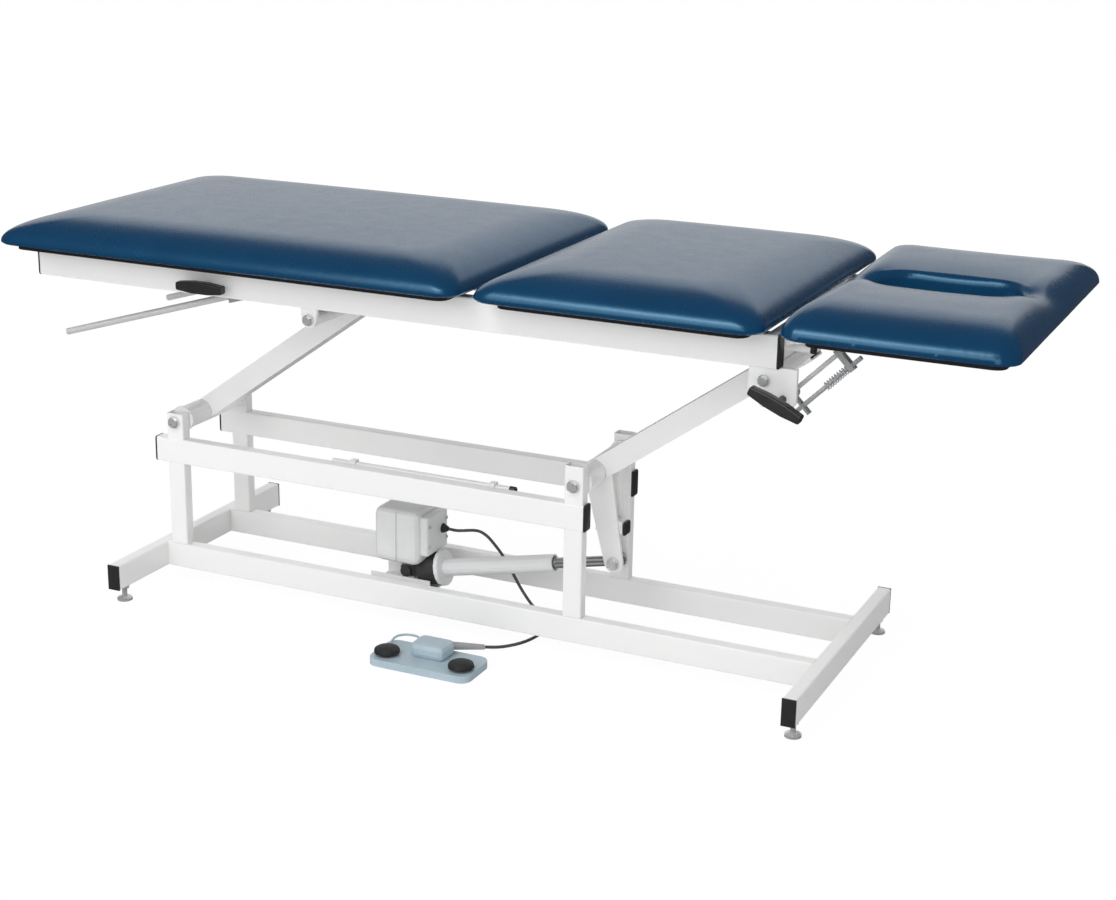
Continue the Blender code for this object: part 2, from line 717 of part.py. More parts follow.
def side_frames():
    """Each side's welded posts, upper rail and pivot stubs."""
    rail_z = UPPER_BOTTOM + TUBE_HEIGHT / 2
    foot_end = POST_X - UPPER_OVERHANG_FOOT
    head_end = POST_X + POST_SPACING + UPPER_OVERHANG_HEAD
    weld = TUBE_WALL / 2
    for sign, side in ((-1, "near"), (1, "far")):
        y = sign * RAIL_Y
        vent = Vector((POST_X + POST_SPACING / 2, y, UPPER_BOTTOM))
        drain = cylinder(vent - UP * OVERRUN, vent + UP * OVERRUN, VENT_RADIUS, sides=PIN_SIDES)
        rail = tube((foot_end, y, rail_z), (head_end, y, rail_z), TUBE_WIDTH, TUBE_HEIGHT)
        pieces = [cut(rail, [drain])]
        holes = []
        for x, away in ((foot_end, -1), (head_end, 1)):
            pieces.append(end_plate((x, y, rail_z), ALONG * away, TUBE_WIDTH, TUBE_HEIGHT))
        for x, height in ((POST_X, FOOT_STUB_HEIGHT), (HEAD_PIVOT.x, HEAD_STUB_HEIGHT)):
            for low, high in ((BASE_TOP + GAP, UPPER_BOTTOM + weld), (UPPER_TOP - weld, UPPER_TOP + height)):
                pieces.append(tube((x, y, low), (x, y, high), POST_WIDTH, POST_DEPTH, up=ACROSS))
            spot = Vector((x, y, LOWER_PIVOT_Z))
            holes.append(bar_across(spot, y - TUBE_WIDTH, y + TUBE_WIDTH, PIVOT_SHAFT_RADIUS + RUNNING))
        place(f"side_frame_{side}", cut(fuse(pieces), holes), "white")


def pivot_shaft(name, pivot, reach, radius, head_radius, head_height):
    """A shaft across the table with a flat head outside each plate it passes."""
    end = reach + head_height
    profile = [
        (0, end), (head_radius, end), (head_radius, reach), (radius, reach), (radius, -reach),
        (head_radius, -reach), (head_radius, -end), (0, -end),
    ]
    return smooth(place(name, turned(profile, pivot, ACROSS, SIDES), "zinc"))


def pivot_shafts():
    """The two lower shafts in the stubs and the two upper ones in the top frame's plates."""
    low = RAIL_Y + POST_DEPTH / 2 + GAP
    high = TOP_RAIL_Y + EAR_THICKNESS / 2 + GAP
    lower_sizes = (PIVOT_SHAFT_RADIUS, PIVOT_HEAD_RADIUS, PIVOT_HEAD_HEIGHT)
    upper_sizes = (TOP_BOLT_RADIUS, TOP_BOLT_HEAD_RADIUS, TOP_BOLT_HEAD_HEIGHT)
    for end, lower, upper in (("foot", FOOT_PIVOT, FOOT_TOP_PIVOT), ("head", HEAD_PIVOT, HEAD_TOP_PIVOT)):
        pivot_shaft(f"{end}_lower_shaft", lower, low, *lower_sizes)
        pivot_shaft(f"{end}_upper_shaft", upper, high, *upper_sizes)


def torque_tube(pivot):
    """The round tube on a lower shaft, with a wider hub plate at each end."""
    inner = RAIL_Y - POST_DEPTH / 2 - FIT_PLAY
    hub_in = inner - HUB_THICKNESS
    bore = TORQUE_RADIUS - TORQUE_WALL
    shaft_bore = PIVOT_SHAFT_RADIUS + RUNNING
    profile = [
        (shaft_bore, inner), (HUB_RADIUS, inner), (HUB_RADIUS, hub_in), (TORQUE_RADIUS, hub_in),
        (TORQUE_RADIUS, -hub_in), (HUB_RADIUS, -hub_in), (HUB_RADIUS, -inner), (shaft_bore, -inner),
        (shaft_bore, -hub_in), (bore, -hub_in), (bore, hub_in), (shaft_bore, hub_in), (shaft_bore, inner),
    ]
    return turned(profile, pivot, ACROSS, SIDES)


def lift_arm(end, pivot, top):
    """One arm: the arm tube and its top pivot tube."""
    ear_in = TOP_RAIL_Y - EAR_THICKNESS / 2 - FIT_PLAY
    pivot_tube = pipe(across(top, -ear_in), across(top, ear_in), TOP_PIVOT_RADIUS, TOP_BOLT_RADIUS + RUNNING)
    set_origin(smooth(place(f"{end}_top_pivot_tube", pivot_tube, "white")), pivot)
    half = ARM_DEPTH / 2
    low_reach = TORQUE_RADIUS + GAP
    high_reach = TOP_PIVOT_RADIUS + GAP
    swing = math.degrees(math.asin(half / low_reach))
    side = arc((0, 0), low_reach, -swing, swing, 8) + [(ARM_LENGTH, half)]
    side += arc((ARM_LENGTH, 0), high_reach, 90, 270, 8) + [(ARM_LENGTH, -half)]
    cosine = math.cos(ARM_ANGLE)
    sine = math.sin(ARM_ANGLE)
    outline = [(pivot.x + u * cosine - v * sine, pivot.z + u * sine + v * cosine) for u, v in side]
    bore_size = (ARM_LENGTH * 2, ARM_WIDTH - 2 * ARM_WALL, ARM_DEPTH - 2 * ARM_WALL)
    bore = block(bore_size, (pivot + top) / 2, ARM_VECTOR, UP)
    coped = cut(plate([outline], ARM_WIDTH, 0), [bore])
    set_origin(place(f"{end}_arm_tube", coped, "white"), pivot)


def lift_lever():
    """The head torque tube with the lever plates and brace welded to it, and the lever's pin."""
    lean = math.degrees(math.atan2(-LEVER_DROP, LEVER_LEAD))
    down = Vector((LEVER_LEAD, 0, -LEVER_DROP)).normalized()
    side = Vector((-down.z, 0, down.x))
    half = LEVER_TOP_WIDTH / 2
    top_left = HEAD_PIVOT - side * half
    top_right = HEAD_PIVOT + side * half
    outline = [(top_left.x, top_left.z)]
    outline += arc((CRANK_PIN.x, CRANK_PIN.z), LEVER_END_RADIUS, lean - 90, lean + 90, 8)
    outline += [(top_right.x, top_right.z)]
    hole = ring((CRANK_PIN.x, CRANK_PIN.z), LEVER_PIN_RADIUS + RUNNING, SIDES)
    inner = EYE_WIDTH / 2 + RUNNING
    pieces = [torque_tube(HEAD_PIVOT)]
    for sign in (-1, 1):
        lever = plate([outline, hole], LEVER_THICKNESS, sign * (inner + LEVER_THICKNESS / 2))
        clear = bar_across(HEAD_PIVOT, -ARM_WIDTH, ARM_WIDTH, TORQUE_RADIUS - TORQUE_WALL / 2)
        arm_size = (ARM_LENGTH, ARM_WIDTH + OVERRUN, ARM_DEPTH + 2 * GAP)
        arm_space = block(arm_size, HEAD_PIVOT + ARM_VECTOR / 2, ARM_VECTOR, UP)
        pieces.append(cut(lever, [clear, arm_space]))
    brace_at = HEAD_PIVOT + down * (LEVER_DROP * BRACE_SHARE)
    ends = [(brace_at.x + sign * BRACE_LENGTH / 2, 0, brace_at.z) for sign in (-1, 1)]
    width = 2 * inner + LEVER_THICKNESS / 3
    pieces.append(tube(ends[0], ends[1], width, BRACE_SIZE))
    pieces.append(end_plate(ends[1], ALONG, width, BRACE_SIZE))
    set_origin(smooth(place("lift_lever", fuse(pieces), "white")), HEAD_PIVOT)
    reach = inner + LEVER_THICKNESS + GAP
    pin = pivot_shaft("lever_pin", CRANK_PIN, reach, LEVER_PIN_RADIUS, PIVOT_HEAD_RADIUS, PIVOT_HEAD_HEIGHT)
    set_origin(pin, HEAD_PIVOT)


def actuator():
    """Rod with its eye, screw, barrel with flange, gear case, motor housing, gland and rear fork."""

    def along(distance):
        return CRANK_PIN + ACTUATOR_BACK * distance

    crank = (CRANK_PIN.x, CRANK_PIN.z)
    eye = plate([ring(crank, EYE_RADIUS), ring(crank, LEVER_PIN_RADIUS + RUNNING)], EYE_WIDTH, 0)
    rod = cylinder(along(EYE_RADIUS - TUBE_WALL), along(ROD_LENGTH), ROD_RADIUS)
    bore = cylinder(along(ROD_BORE_START), along(ROD_LENGTH + OVERRUN), ROD_BORE_RADIUS)
    bored = cut(fuse([eye, rod]), [bore])
    set_origin(smooth(place("actuator_rod", bored, "zinc")), CRANK_PIN)
    barrel_end = BARREL_START + BARREL_LENGTH
    flange_end = barrel_end + FLANGE_THICKNESS
    bore_radius = BARREL_RADIUS - BARREL_WALL
    barrel = pipe(along(BARREL_START), along(barrel_end + TUBE_WALL), BARREL_RADIUS, bore_radius)
    flange = pipe(along(barrel_end), along(flange_end), FLANGE_RADIUS, SCREW_RADIUS + GAP)
    smooth(place("actuator_barrel", fuse([barrel, flange]), "grey"))
    case_end = flange_end + GAP + GEARCASE_LENGTH
    screw = cylinder(along(SCREW_START), along(flange_end), SCREW_RADIUS, sides=PIN_SIDES)
    smooth(place("actuator_lead_screw", screw, "zinc"))
    case = cylinder(along(flange_end + GAP), along(case_end), GEARCASE_RADIUS)
    smooth(place("actuator_gear_case", case, "black"))
    pivot = REAR_PIVOT
    lug_half = LUG_THICKNESS / 2
    fork_y = lug_half + FIT_PLAY + FORK_THICKNESS / 2
    pin_half = lug_half + FIT_PLAY + FORK_THICKNESS
    fork_start = case_end + GAP
    fork_end = REAR_PIVOT_BACK + FORK_HEIGHT / 2
    middle = along((fork_start + fork_end) / 2)
    web = along(fork_start + FORK_THICKNESS / 2)
    pieces = [block((FORK_THICKNESS, 2 * pin_half, FORK_HEIGHT), web, ACTUATOR_BACK, ACTUATOR_UP)]
    for sign in (-1, 1):
        size = (fork_end - fork_start, FORK_THICKNESS, FORK_HEIGHT)
        pieces.append(block(size, across(middle, sign * fork_y), ACTUATOR_BACK, ACTUATOR_UP))
        away = pin_half + STUB_BOLT_HEIGHT
        pieces.append(bar_across(pivot, sign * (pin_half - TUBE_WALL), sign * away, PIVOT_HEAD_RADIUS))
    pieces.append(bar_across(pivot, -pin_half, pin_half, REAR_PIN_RADIUS))
    place("actuator_rear_fork", fuse(pieces), "dark")
    motor_and_box(pivot)
    rear_mount(pivot)


def motor_and_box(pivot):
    """The motor housing over the rear pivot with its end bell, and the cord gland."""
    centre = Vector((MOTOR_END_X - MOTOR_LENGTH / 2, 0, MOTOR_TOP - MOTOR_HEIGHT / 2))
    shell = block((MOTOR_LENGTH, MOTOR_DEPTH, MOTOR_HEIGHT), centre, bevel=MOTOR_ROUND, segments=3)
    lug_middle = pivot.x - LUG_SLOT_LEAN / 2
    pocket = block(
        (LUG_WIDTH + OVERRUN * 3, LUG_THICKNESS + OVERRUN, 2 * LUG_RISE),
        Vector((lug_middle, 0, pivot.z + OVERRUN)),
    )
    saddle = cylinder(FLANGE_BACK - ACTUATOR_BACK * OVERRUN, pivot, GEARCASE_RADIUS + GAP)
    bell_size = (BELL_LENGTH + TUBE_WALL, MOTOR_DEPTH - BELL_MARGIN * 2, MOTOR_HEIGHT - BELL_MARGIN * 3)
    bell_centre = Vector((MOTOR_END_X + (BELL_LENGTH - TUBE_WALL) / 2, 0, centre.z + BELL_MARGIN / 2))
    bell = block(bell_size, bell_centre, bevel=MOTOR_ROUND / 3)
    smooth(place("actuator_motor", cut(fuse([shell, bell]), [pocket, saddle]), "grey"))
    tip = GLAND_START + ALONG * GLAND_LENGTH
    gland = cylinder(GLAND_START, tip, GLAND_RADIUS, GLAND_TIP_RADIUS, PIN_SIDES)
    smooth(place("cord_gland", gland, "black"))


def rear_mount(pivot):
    """The cross bar between the base rails with the channel and the slotted lug for the rear pin."""
    inner = RAIL_Y - TUBE_WIDTH / 2 - GAP
    bar = block((CROSS_BAR_WIDTH, 2 * inner, CROSS_BAR_THICKNESS),
                (pivot.x, 0, BASE_CLEARANCE + CROSS_BAR_THICKNESS / 2))
    floor_z = BASE_CLEARANCE + CROSS_BAR_THICKNESS - CHANNEL_THICKNESS / 2
    half = CHANNEL_WIDTH / 2
    inner_half = half - CHANNEL_THICKNESS
    section = [
        (-half, 0), (half, 0), (half, CHANNEL_HEIGHT), (inner_half, CHANNEL_HEIGHT),
        (inner_half, CHANNEL_THICKNESS), (-inner_half, CHANNEL_THICKNESS), (-inner_half, CHANNEL_HEIGHT),
        (-half, CHANNEL_HEIGHT),
    ]
    channel = outline_solid([section], CHANNEL_LENGTH, (pivot.x, 0, floor_z), ALONG, UP)
    lean = -LUG_SLOT_LEAN
    lug_top = pivot.z + LUG_RISE
    low = (pivot.x, pivot.z)
    high = (pivot.x + lean, pivot.z + LUG_SLOT_LENGTH)
    tilt = math.degrees(math.atan2(LUG_SLOT_LENGTH, lean))
    slot = arc(high, LUG_SLOT_RADIUS, tilt - 90, tilt + 90, 6)
    slot += arc(low, LUG_SLOT_RADIUS, tilt + 90, tilt + 270, 6)
    start = pivot.x + lean / 2 - LUG_WIDTH / 2
    end = pivot.x + lean / 2 + LUG_WIDTH / 2
    bottom = floor_z + CHANNEL_THICKNESS / 2
    outline = [(start, bottom), (end, bottom), (end, lug_top), (start, lug_top)]
    lug = plate([outline, slot], LUG_THICKNESS, 0)
    place("actuator_mount", fuse([bar, channel, lug]), "dark")


def side_bar():
    """The white bar beside the near upper rail, with its two clips."""
    y = -RAIL_Y + TUBE_WIDTH / 2 + SIDE_BAR_RADIUS + SIDE_CLIP_THICKNESS
    z = UPPER_TOP + SIDE_BAR_RISE - SIDE_BAR_RADIUS * 2
    pieces = [cylinder((SIDE_BAR_START, y, z), (SIDE_BAR_END, y, z), SIDE_BAR_RADIUS)]
    wall_y = -RAIL_Y + TUBE_WIDTH / 2 + GAP
    for clip_share in (SIDE_CLIP_SHARE, 1 - SIDE_CLIP_SHARE):
        x = SIDE_BAR_START + (SIDE_BAR_END - SIDE_BAR_START) * clip_share
        size = (SIDE_CLIP_WIDTH, 2 * (y - wall_y), 2 * (SIDE_BAR_RADIUS + SIDE_CLIP_THICKNESS))
        pieces.append(block(size, (x, y, z)))
    smooth(place("side_bar", fuse(pieces), "white"))


def top_frame():
    """Rails with their plates, and the cross tubes."""
    rail_z = TOP_RAIL_BOTTOM + TOP_RAIL_HEIGHT / 2
    for sign, side in ((-1, "near"), (1, "far")):
        y = sign * TOP_RAIL_Y
        vent = Vector((TOP_RAIL_START + TUBE_HEIGHT, y, TOP_RAIL_BOTTOM))
        drain = cylinder(vent - UP * OVERRUN, vent + UP * OVERRUN, VENT_RADIUS, sides=PIN_SIDES)
        rail = tube((TOP_RAIL_START, y, rail_z), (TOP_RAIL_END, y, rail_z), TUBE_WIDTH, TOP_RAIL_HEIGHT)
        pieces = [cut(rail, [drain])]
        for x, away in ((TOP_RAIL_START, -1), (TOP_RAIL_END, 1)):
            pieces.append(end_plate((x, y, rail_z), ALONG * away, TUBE_WIDTH, TOP_RAIL_HEIGHT))
        pieces += rail_plates(y)
        pieces += head_hinge_plate(sign)
        holes = []
        if sign < 0:
            bore = CLAMP_SCREW_RADIUS + RUNNING
            holes.append(bar_across(CLAMP_AXIS, y - TUBE_WIDTH, y + TUBE_WIDTH, bore))
        else:
            tip = ROD_SIDE + SUPPORT_ROD_RADIUS + SADDLE_CLEARANCE + FIT_PLAY
            root = TOP_RAIL_Y - TUBE_WIDTH / 2 + TUBE_WALL / 2
            pieces.append(bar_across(CLAMP_AXIS, tip, root, CLAMP_SCREW_RADIUS))
        place(f"top_rail_{side}", cut(fuse(pieces), holes), "white")
    inner = TOP_RAIL_Y - TUBE_WIDTH / 2 - GAP
    cross_z = TOP_RAIL_TOP - CROSS_DROP - CROSS_HEIGHT / 2
    ends = [Vector((0, side * inner, cross_z)) for side in (-1, 1)]
    foot_tube, head_tube = (
        tube(ends[0] + ALONG * x, ends[1] + ALONG * x, TUBE_WIDTH, CROSS_HEIGHT)
        for x in (CROSS_FOOT_X, CROSS_HEAD_X)
    )
    place("top_cross_tube_foot", foot_tube, "white")
    place("top_cross_tube_head", fuse([head_tube] + head_stops()), "white")


def rail_plates(y):
    """The plates under a rail that carry the arms' top pivots, with their bores."""
    plate_top = TOP_RAIL_BOTTOM + TUBE_WALL / 2
    x = FOOT_TOP_PIVOT.x
    z = FOOT_TOP_PIVOT.z
    half = EAR_WIDTH / 2
    ear = [(x - half, plate_top)] + arc((x, z), EAR_RADIUS, 180, 360, 8) + [(x + half, plate_top)]
    back = TOP_RAIL_END - GUSSET_BACK
    front = TOP_RAIL_END + GUSSET_OVERHANG
    low = TOP_RAIL_BOTTOM - GUSSET_DROP
    gusset = [
        (back, plate_top), (back, HEAD_TOP_PIVOT.z - EAR_RADIUS), (back + GUSSET_CHAMFER, low),
        (front - GUSSET_CHAMFER / 3, low), (front, low + GUSSET_CHAMFER / 2), (front, plate_top),
    ]
    bolt_hole = TOP_BOLT_RADIUS + RUNNING
    ear_hole = ring((x, z), bolt_hole)
    gusset_hole = ring((HEAD_TOP_PIVOT.x, HEAD_TOP_PIVOT.z), bolt_hole)
    screw_hole = ring((HANDLE_AXIS.x, HANDLE_AXIS.z), CLAMP_SCREW_RADIUS + RUNNING)
    return [
        plate([ear, ear_hole], EAR_THICKNESS, y),
        plate([gusset, gusset_hole, screw_hole], EAR_THICKNESS, y),
    ]


def head_hinge_plate(sign):
    """The plate on a rail's inner face, past its end, that carries the head hinge pin."""
    back = CROSS_HEAD_X + TUBE_WIDTH / 2 + GAP
    lower = HEAD_HINGE.z - HEAD_HINGE_EAR
    centre = (HEAD_HINGE.x, HEAD_HINGE.z)
    outline = [(back, HEAD_HINGE.z + HEAD_HINGE_EAR), (back, lower - HEAD_HINGE_EAR), (HEAD_HINGE.x, lower)]
    outline += arc(centre, HEAD_HINGE_EAR, -90, 90, 8)[1:]
    inner_face = HEAD_PLATE_Y - HEAD_HINGE_THICKNESS / 2
    pin_end = inner_face - FIT_PLAY - HEAD_HINGE_THICKNESS
    pin = bar_across(HEAD_HINGE, sign * pin_end, sign * HEAD_PLATE_Y, HEAD_HINGE_PIN, PIN_SIDES)
    return [plate([outline], HEAD_HINGE_THICKNESS, sign * HEAD_PLATE_Y), pin]


def head_stops():
    """Short stubs with plastic tips that stop the head section on its way down."""
    z = TOP_RAIL_TOP - BUMPER_Z_DROP
    start = CROSS_HEAD_X + TUBE_WIDTH / 2 - TUBE_WALL / 2
    end = start + BUMPER_LENGTH + BUMPER_TIP
    return [
        cylinder((start, sign * BUMPER_SIDE, z), (end, sign * BUMPER_SIDE, z), BUMPER_RADIUS, sides=PIN_SIDES)
        for sign in (-1, 1)
    ]


def board(name, start, end, holes=()):
    """A plywood board with round corners, set in from the cushion's outline."""
    length = end - start - 2 * BOARD_INSET
    width = CUSHION_WIDTH - 2 * BOARD_INSET
    middle = ((start + end) / 2, 0)
    outline = rounded(length, width, BOARD_CORNER, 4, middle)
    loops = [outline] + list(holes)
    centre = (0, 0, BOARD_BOTTOM + BOARD_THICKNESS / 2)
    return place(name, outline_solid(loops, BOARD_THICKNESS, centre, UP, ACROSS), "board")


def cushion_ring(start, end, inset, corner, z):
    """A ring of a cushion's surface: a rounded rectangle with evenly divided sides."""
    half_x = (end - start) / 2 - inset
    half_y = CUSHION_WIDTH / 2 - inset
    middle = (start + end) / 2
    points = []
    for sign_x, sign_y, turn in ((1, 1, 0), (-1, 1, 90), (-1, -1, 180), (1, -1, 270)):
        centre = (middle + sign_x * (half_x - corner), sign_y * (half_y - corner))
        points += arc(centre, corner, turn, turn + 90, RING_STEPS)
    divided = []
    run = RING_STEPS + 1
    for side in range(4):
        corner_points = points[side * run:(side + 1) * run]
        divided += corner_points
        a = corner_points[-1]
        b = points[((side + 1) * run) % len(points)]
        for i in range(1, RING_STEPS):
            share = i / RING_STEPS
            divided.append((a[0] + (b[0] - a[0]) * share, a[1] + (b[1] - a[1]) * share))
    return [(x, y, z) for x, y in divided]


def crown(inset):
    """The height of the domed top above its widest line: a quarter ellipse, then flat."""
    share = min(inset / CROWN_REACH, 1)
    return CUSHION_CROWN * math.sqrt(1 - (1 - share) ** 2)


def skin(rings, closed):
    """A surface through rings of equal length: closed joins the last ring to the first."""
    work = bmesh.new()
    verts = [[work.verts.new(p) for p in loop] for loop in rings]
    count = len(rings[0])
    pairs = list(zip(range(len(rings)), range(1, len(rings))))
    if closed:
        pairs.append((len(rings) - 1, 0))
    for a, b in pairs:
        for i in range(count):
            j = (i + 1) % count
            work.faces.new((verts[a][i], verts[a][j], verts[b][j], verts[b][i]))
    if not closed:
        work.faces.new(verts[0])
        work.faces.new(verts[-1])
    bmesh.ops.recalc_face_normals(work, faces=work.faces)
    mesh = bpy.data.meshes.new("skin")
    work.to_mesh(mesh)
    work.free()
    return mesh


def plain_cushion(name, start, end):
    """A cushion with drawn-in bottom edges and a domed top."""
    widest = CUSHION_BOTTOM + CUSHION_SKIRT
    rings = []
    for inset, z in ((CUSHION_TUCK, CUSHION_BOTTOM), (CUSHION_TUCK / 4, CUSHION_BOTTOM + CUSHION_SKIRT / 3)):
        rings.append(cushion_ring(start, end, inset, CUSHION_CORNER, z))
    for share in INSET_SHARES:
        inset = share * CROWN_REACH
        corner = CUSHION_CORNER + inset / 4
        rings.append(cushion_ring(start, end, inset, corner, widest + crown(inset)))
    return smooth(place(name, skin(rings, False), "vinyl"))


def slot_ring(outer, start, z, grow):
    """The face slot's rim, with one point for each point of the outer ring."""
    middle_x = start + SLOT_FROM_REAR + SLOT_LENGTH / 2
    radius = SLOT_WIDTH / 2 + grow
    straight = SLOT_LENGTH / 2 - SLOT_WIDTH / 2
    points = []
    for x, y, _ in outer:
        turn = math.atan2(y, x - middle_x)
        c = math.cos(turn)
        s = math.sin(turn)
        flat_reach = radius / max(abs(s), TINY_SHARE)
        if abs(flat_reach * c) <= straight:
            reach = flat_reach
        else:
            side = math.copysign(straight, c)
            reach = side * c + math.sqrt(radius ** 2 - (side * s) ** 2)
        points.append((middle_x + reach * c, reach * s, z))
    return points


def head_cushion(start, end):
    """The head cushion: as the others, with a slot for the face right through it."""
    widest = CUSHION_BOTTOM + CUSHION_SKIRT
    outer = cushion_ring(start, end, 0, CUSHION_CORNER, widest)
    rings = [
        cushion_ring(start, end, CUSHION_TUCK, CUSHION_CORNER, CUSHION_BOTTOM),
        cushion_ring(start, end, CUSHION_TUCK / 4, CUSHION_CORNER, CUSHION_BOTTOM + CUSHION_SKIRT / 3),
        outer,
    ]
    rim = slot_ring(outer, start, widest, SLOT_LIP)
    for share in FACE_INSET_SHARES:
        loop = []
        for (x, y, _), (rim_x, rim_y, _) in zip(outer, rim):
            span = math.hypot(rim_x - x, rim_y - y)
            inset = share * min(span, CROWN_REACH)
            move = inset / span if share < 1 else 1
            height = crown(share * span if share == 1 else inset)
            loop.append((x + (rim_x - x) * move, y + (rim_y - y) * move, widest + height))
        rings.append(loop)
    low = min(point[2] for point in rings[-1])
    rings.append([(x, y, rings[-1][i][2] - SLOT_LIP / 3)
                  for i, (x, y, _) in enumerate(slot_ring(outer, start, low, SLOT_LIP / 3))])
    rings.append(slot_ring(outer, start, low - SLOT_LIP, 0))
    rings.append(slot_ring(outer, start, CUSHION_BOTTOM, 0))
    return smooth(place("head_cushion", skin(rings, True), "vinyl"))


def hinge_strap(pin, toward, y, width, bored):
    """A strap under a board that ends in a knuckle around the hinge pin."""
    bottom = BOARD_BOTTOM - GAP - HINGE_STRAP_THICKNESS
    top = BOARD_BOTTOM - GAP
    r = FOOT_HINGE_KNUCKLE
    end = pin.x + toward * HINGE_STRAP_LENGTH
    centre = (pin.x, pin.z)
    points = [(end, bottom), (pin.x, bottom)]
    sweep = arc(centre, r, -60, 180, 8) if toward < 0 else arc(centre, r, 240, 0, 8)
    points += sweep + [(pin.x + toward * r, top), (end, top)]
    loops = [points]
    if bored:
        loops.append(ring(centre, FOOT_HINGE_PIN + RUNNING, PIN_SIDES))
    return plate(loops, width, y)


def foot_hinge():
    """The long hinge between the middle and foot boards: each leaf has its own knuckles."""
    side_y = HINGE_MID_WIDTH / 2 + FIT_PLAY + HINGE_SIDE_WIDTH / 2
    reach = side_y + HINGE_SIDE_WIDTH / 2
    pin = bar_across(FOOT_HINGE, -reach, reach, FOOT_HINGE_PIN, PIN_SIDES)
    fixed = fuse([hinge_strap(FOOT_HINGE, 1, 0, HINGE_MID_WIDTH, False), pin])
    place("foot_hinge_fixed_leaf", fixed, "zinc")
    height = BOARD_BOTTOM - GAP - HINGE_STRAP_THICKNESS / 2
    far = FOOT_HINGE.x - HINGE_STRAP_LENGTH
    near = FOOT_HINGE.x - FOOT_HINGE_KNUCKLE - OVERRUN
    leaf = block((near - far, 2 * reach, HINGE_STRAP_THICKNESS), ((near + far) / 2, 0, height))
    straps = [hinge_strap(FOOT_HINGE, -1, sign * side_y, HINGE_SIDE_WIDTH, True) for sign in (-1, 1)]
    set_origin(place("foot_hinge_moving_leaf", fuse([leaf] + straps), "zinc"), FOOT_HINGE)


def rod_bracket(pivot, sides, cheek_offset):
    """Pairs of cheeks on one strap under a board, with a pin across each pair."""
    top = BOARD_BOTTOM - GAP
    half = CLEVIS_WIDTH / 2
    outline = [(pivot.x - half, top)]
    outline += arc((pivot.x, pivot.z), half * CLEVIS_END_SHARE, 180, 360, 6)
    outline += [(pivot.x + half, top)]
    reach = cheek_offset + CLEVIS_THICKNESS / 2
    strap_reach = max(abs(side) for side in sides) + reach
    low = -strap_reach if len(sides) > 1 else sides[0] - reach
    high = strap_reach if len(sides) > 1 else sides[0] + reach
    strap_size = (CLEVIS_WIDTH, high - low, STRAP_THICKNESS)
    pieces = [block(strap_size, (pivot.x, (low + high) / 2, top - STRAP_THICKNESS / 2))]
    for side in sides:
        for part in (-1, 1):
            pieces.append(plate([outline], CLEVIS_THICKNESS, side + part * cheek_offset))
        pieces.append(bar_across(pivot, side - reach, side + reach, CLEVIS_PIN_RADIUS, PIN_SIDES))
    return pieces


def foot_section():
    """The foot board and cushion, hinge, rod bracket, support rods, clamp saddles and handle."""
    board("foot_board", FOOT_EDGE, FOOT_CUSHION_END)
    set_origin(bpy.data.objects["foot_board"], FOOT_HINGE)
    set_origin(plain_cushion("foot_cushion", FOOT_EDGE, FOOT_CUSHION_END), FOOT_HINGE)
    foot_hinge()
    down = Vector((-math.cos(SUPPORT_SLOPE), 0, -math.sin(SUPPORT_SLOPE)))
    cheek = SUPPORT_ROD_RADIUS + FIT_PLAY + CLEVIS_THICKNESS / 2
    bracket = fuse(rod_bracket(SUPPORT_PIVOT, (-ROD_SIDE, ROD_SIDE), cheek))
    set_origin(place("foot_rod_bracket", bracket, "white"), FOOT_HINGE)
    for sign, side in ((-1, "near"), (1, "far")):
        y = sign * ROD_SIDE
        start = across(SUPPORT_PIVOT, y) - down * (CLEVIS_PIN_RADIUS + TUBE_WALL)
        rod = cylinder(start, across(SUPPORT_PIVOT, y) + down * SUPPORT_ROD_LENGTH, SUPPORT_ROD_RADIUS)
        bore = CLEVIS_PIN_RADIUS + RUNNING
        hole = bar_across(SUPPORT_PIVOT, y - POST_WIDTH, y + POST_WIDTH, bore, PIN_SIDES)
        set_origin(smooth(place(f"foot_support_rod_{side}", cut(rod, [hole]), "zinc")), SUPPORT_PIVOT)
    foot_clamp(down)


def foot_clamp(down):
    """Open-topped saddles that hang from the clamp axis beside each rail and hold the rods."""
    normal = Vector((down.z, 0, -down.x))
    centre = CLAMP_AXIS - normal * CLAMP_ROD_OFFSET
    half = SUPPORT_ROD_RADIUS + SADDLE_CLEARANCE
    outer = half + SADDLE_THICKNESS
    rise = CLAMP_ROD_OFFSET + CLAMP_COLLAR_RADIUS
    lip = SUPPORT_ROD_RADIUS
    for sign, side in ((-1, "near"), (1, "far")):
        section = [
            (-outer, -outer), (outer, -outer), (outer, rise), (half, rise), (half, -half), (-half, -half),
            (-half, lip), (-outer, lip),
        ]
        flip = [(across_by * sign * -1, height) for across_by, height in section]
        saddle = outline_solid([flip], SADDLE_LENGTH, across(centre, sign * ROD_SIDE), down, normal)
        hole = bar_across(CLAMP_AXIS, sign * ROD_SIDE, sign * TOP_RAIL_Y, CLAMP_SCREW_RADIUS + RUNNING)
        set_origin(place(f"foot_clamp_saddle_{side}", cut(saddle, [hole]), "zinc"), CLAMP_AXIS)
    tip = ROD_SIDE + half + FIT_PLAY
    outer_face = TOP_RAIL_Y + TUBE_WIDTH / 2
    screw = bar_across(CLAMP_AXIS, -tip, -outer_face - HANDLE_STANDOFF - TUBE_WALL, CLAMP_SCREW_RADIUS)
    y = -outer_face - HANDLE_STANDOFF - HANDLE_THICKNESS / 2
    t_handle("foot_clamp_handle", CLAMP_AXIS, 0, y, screw)


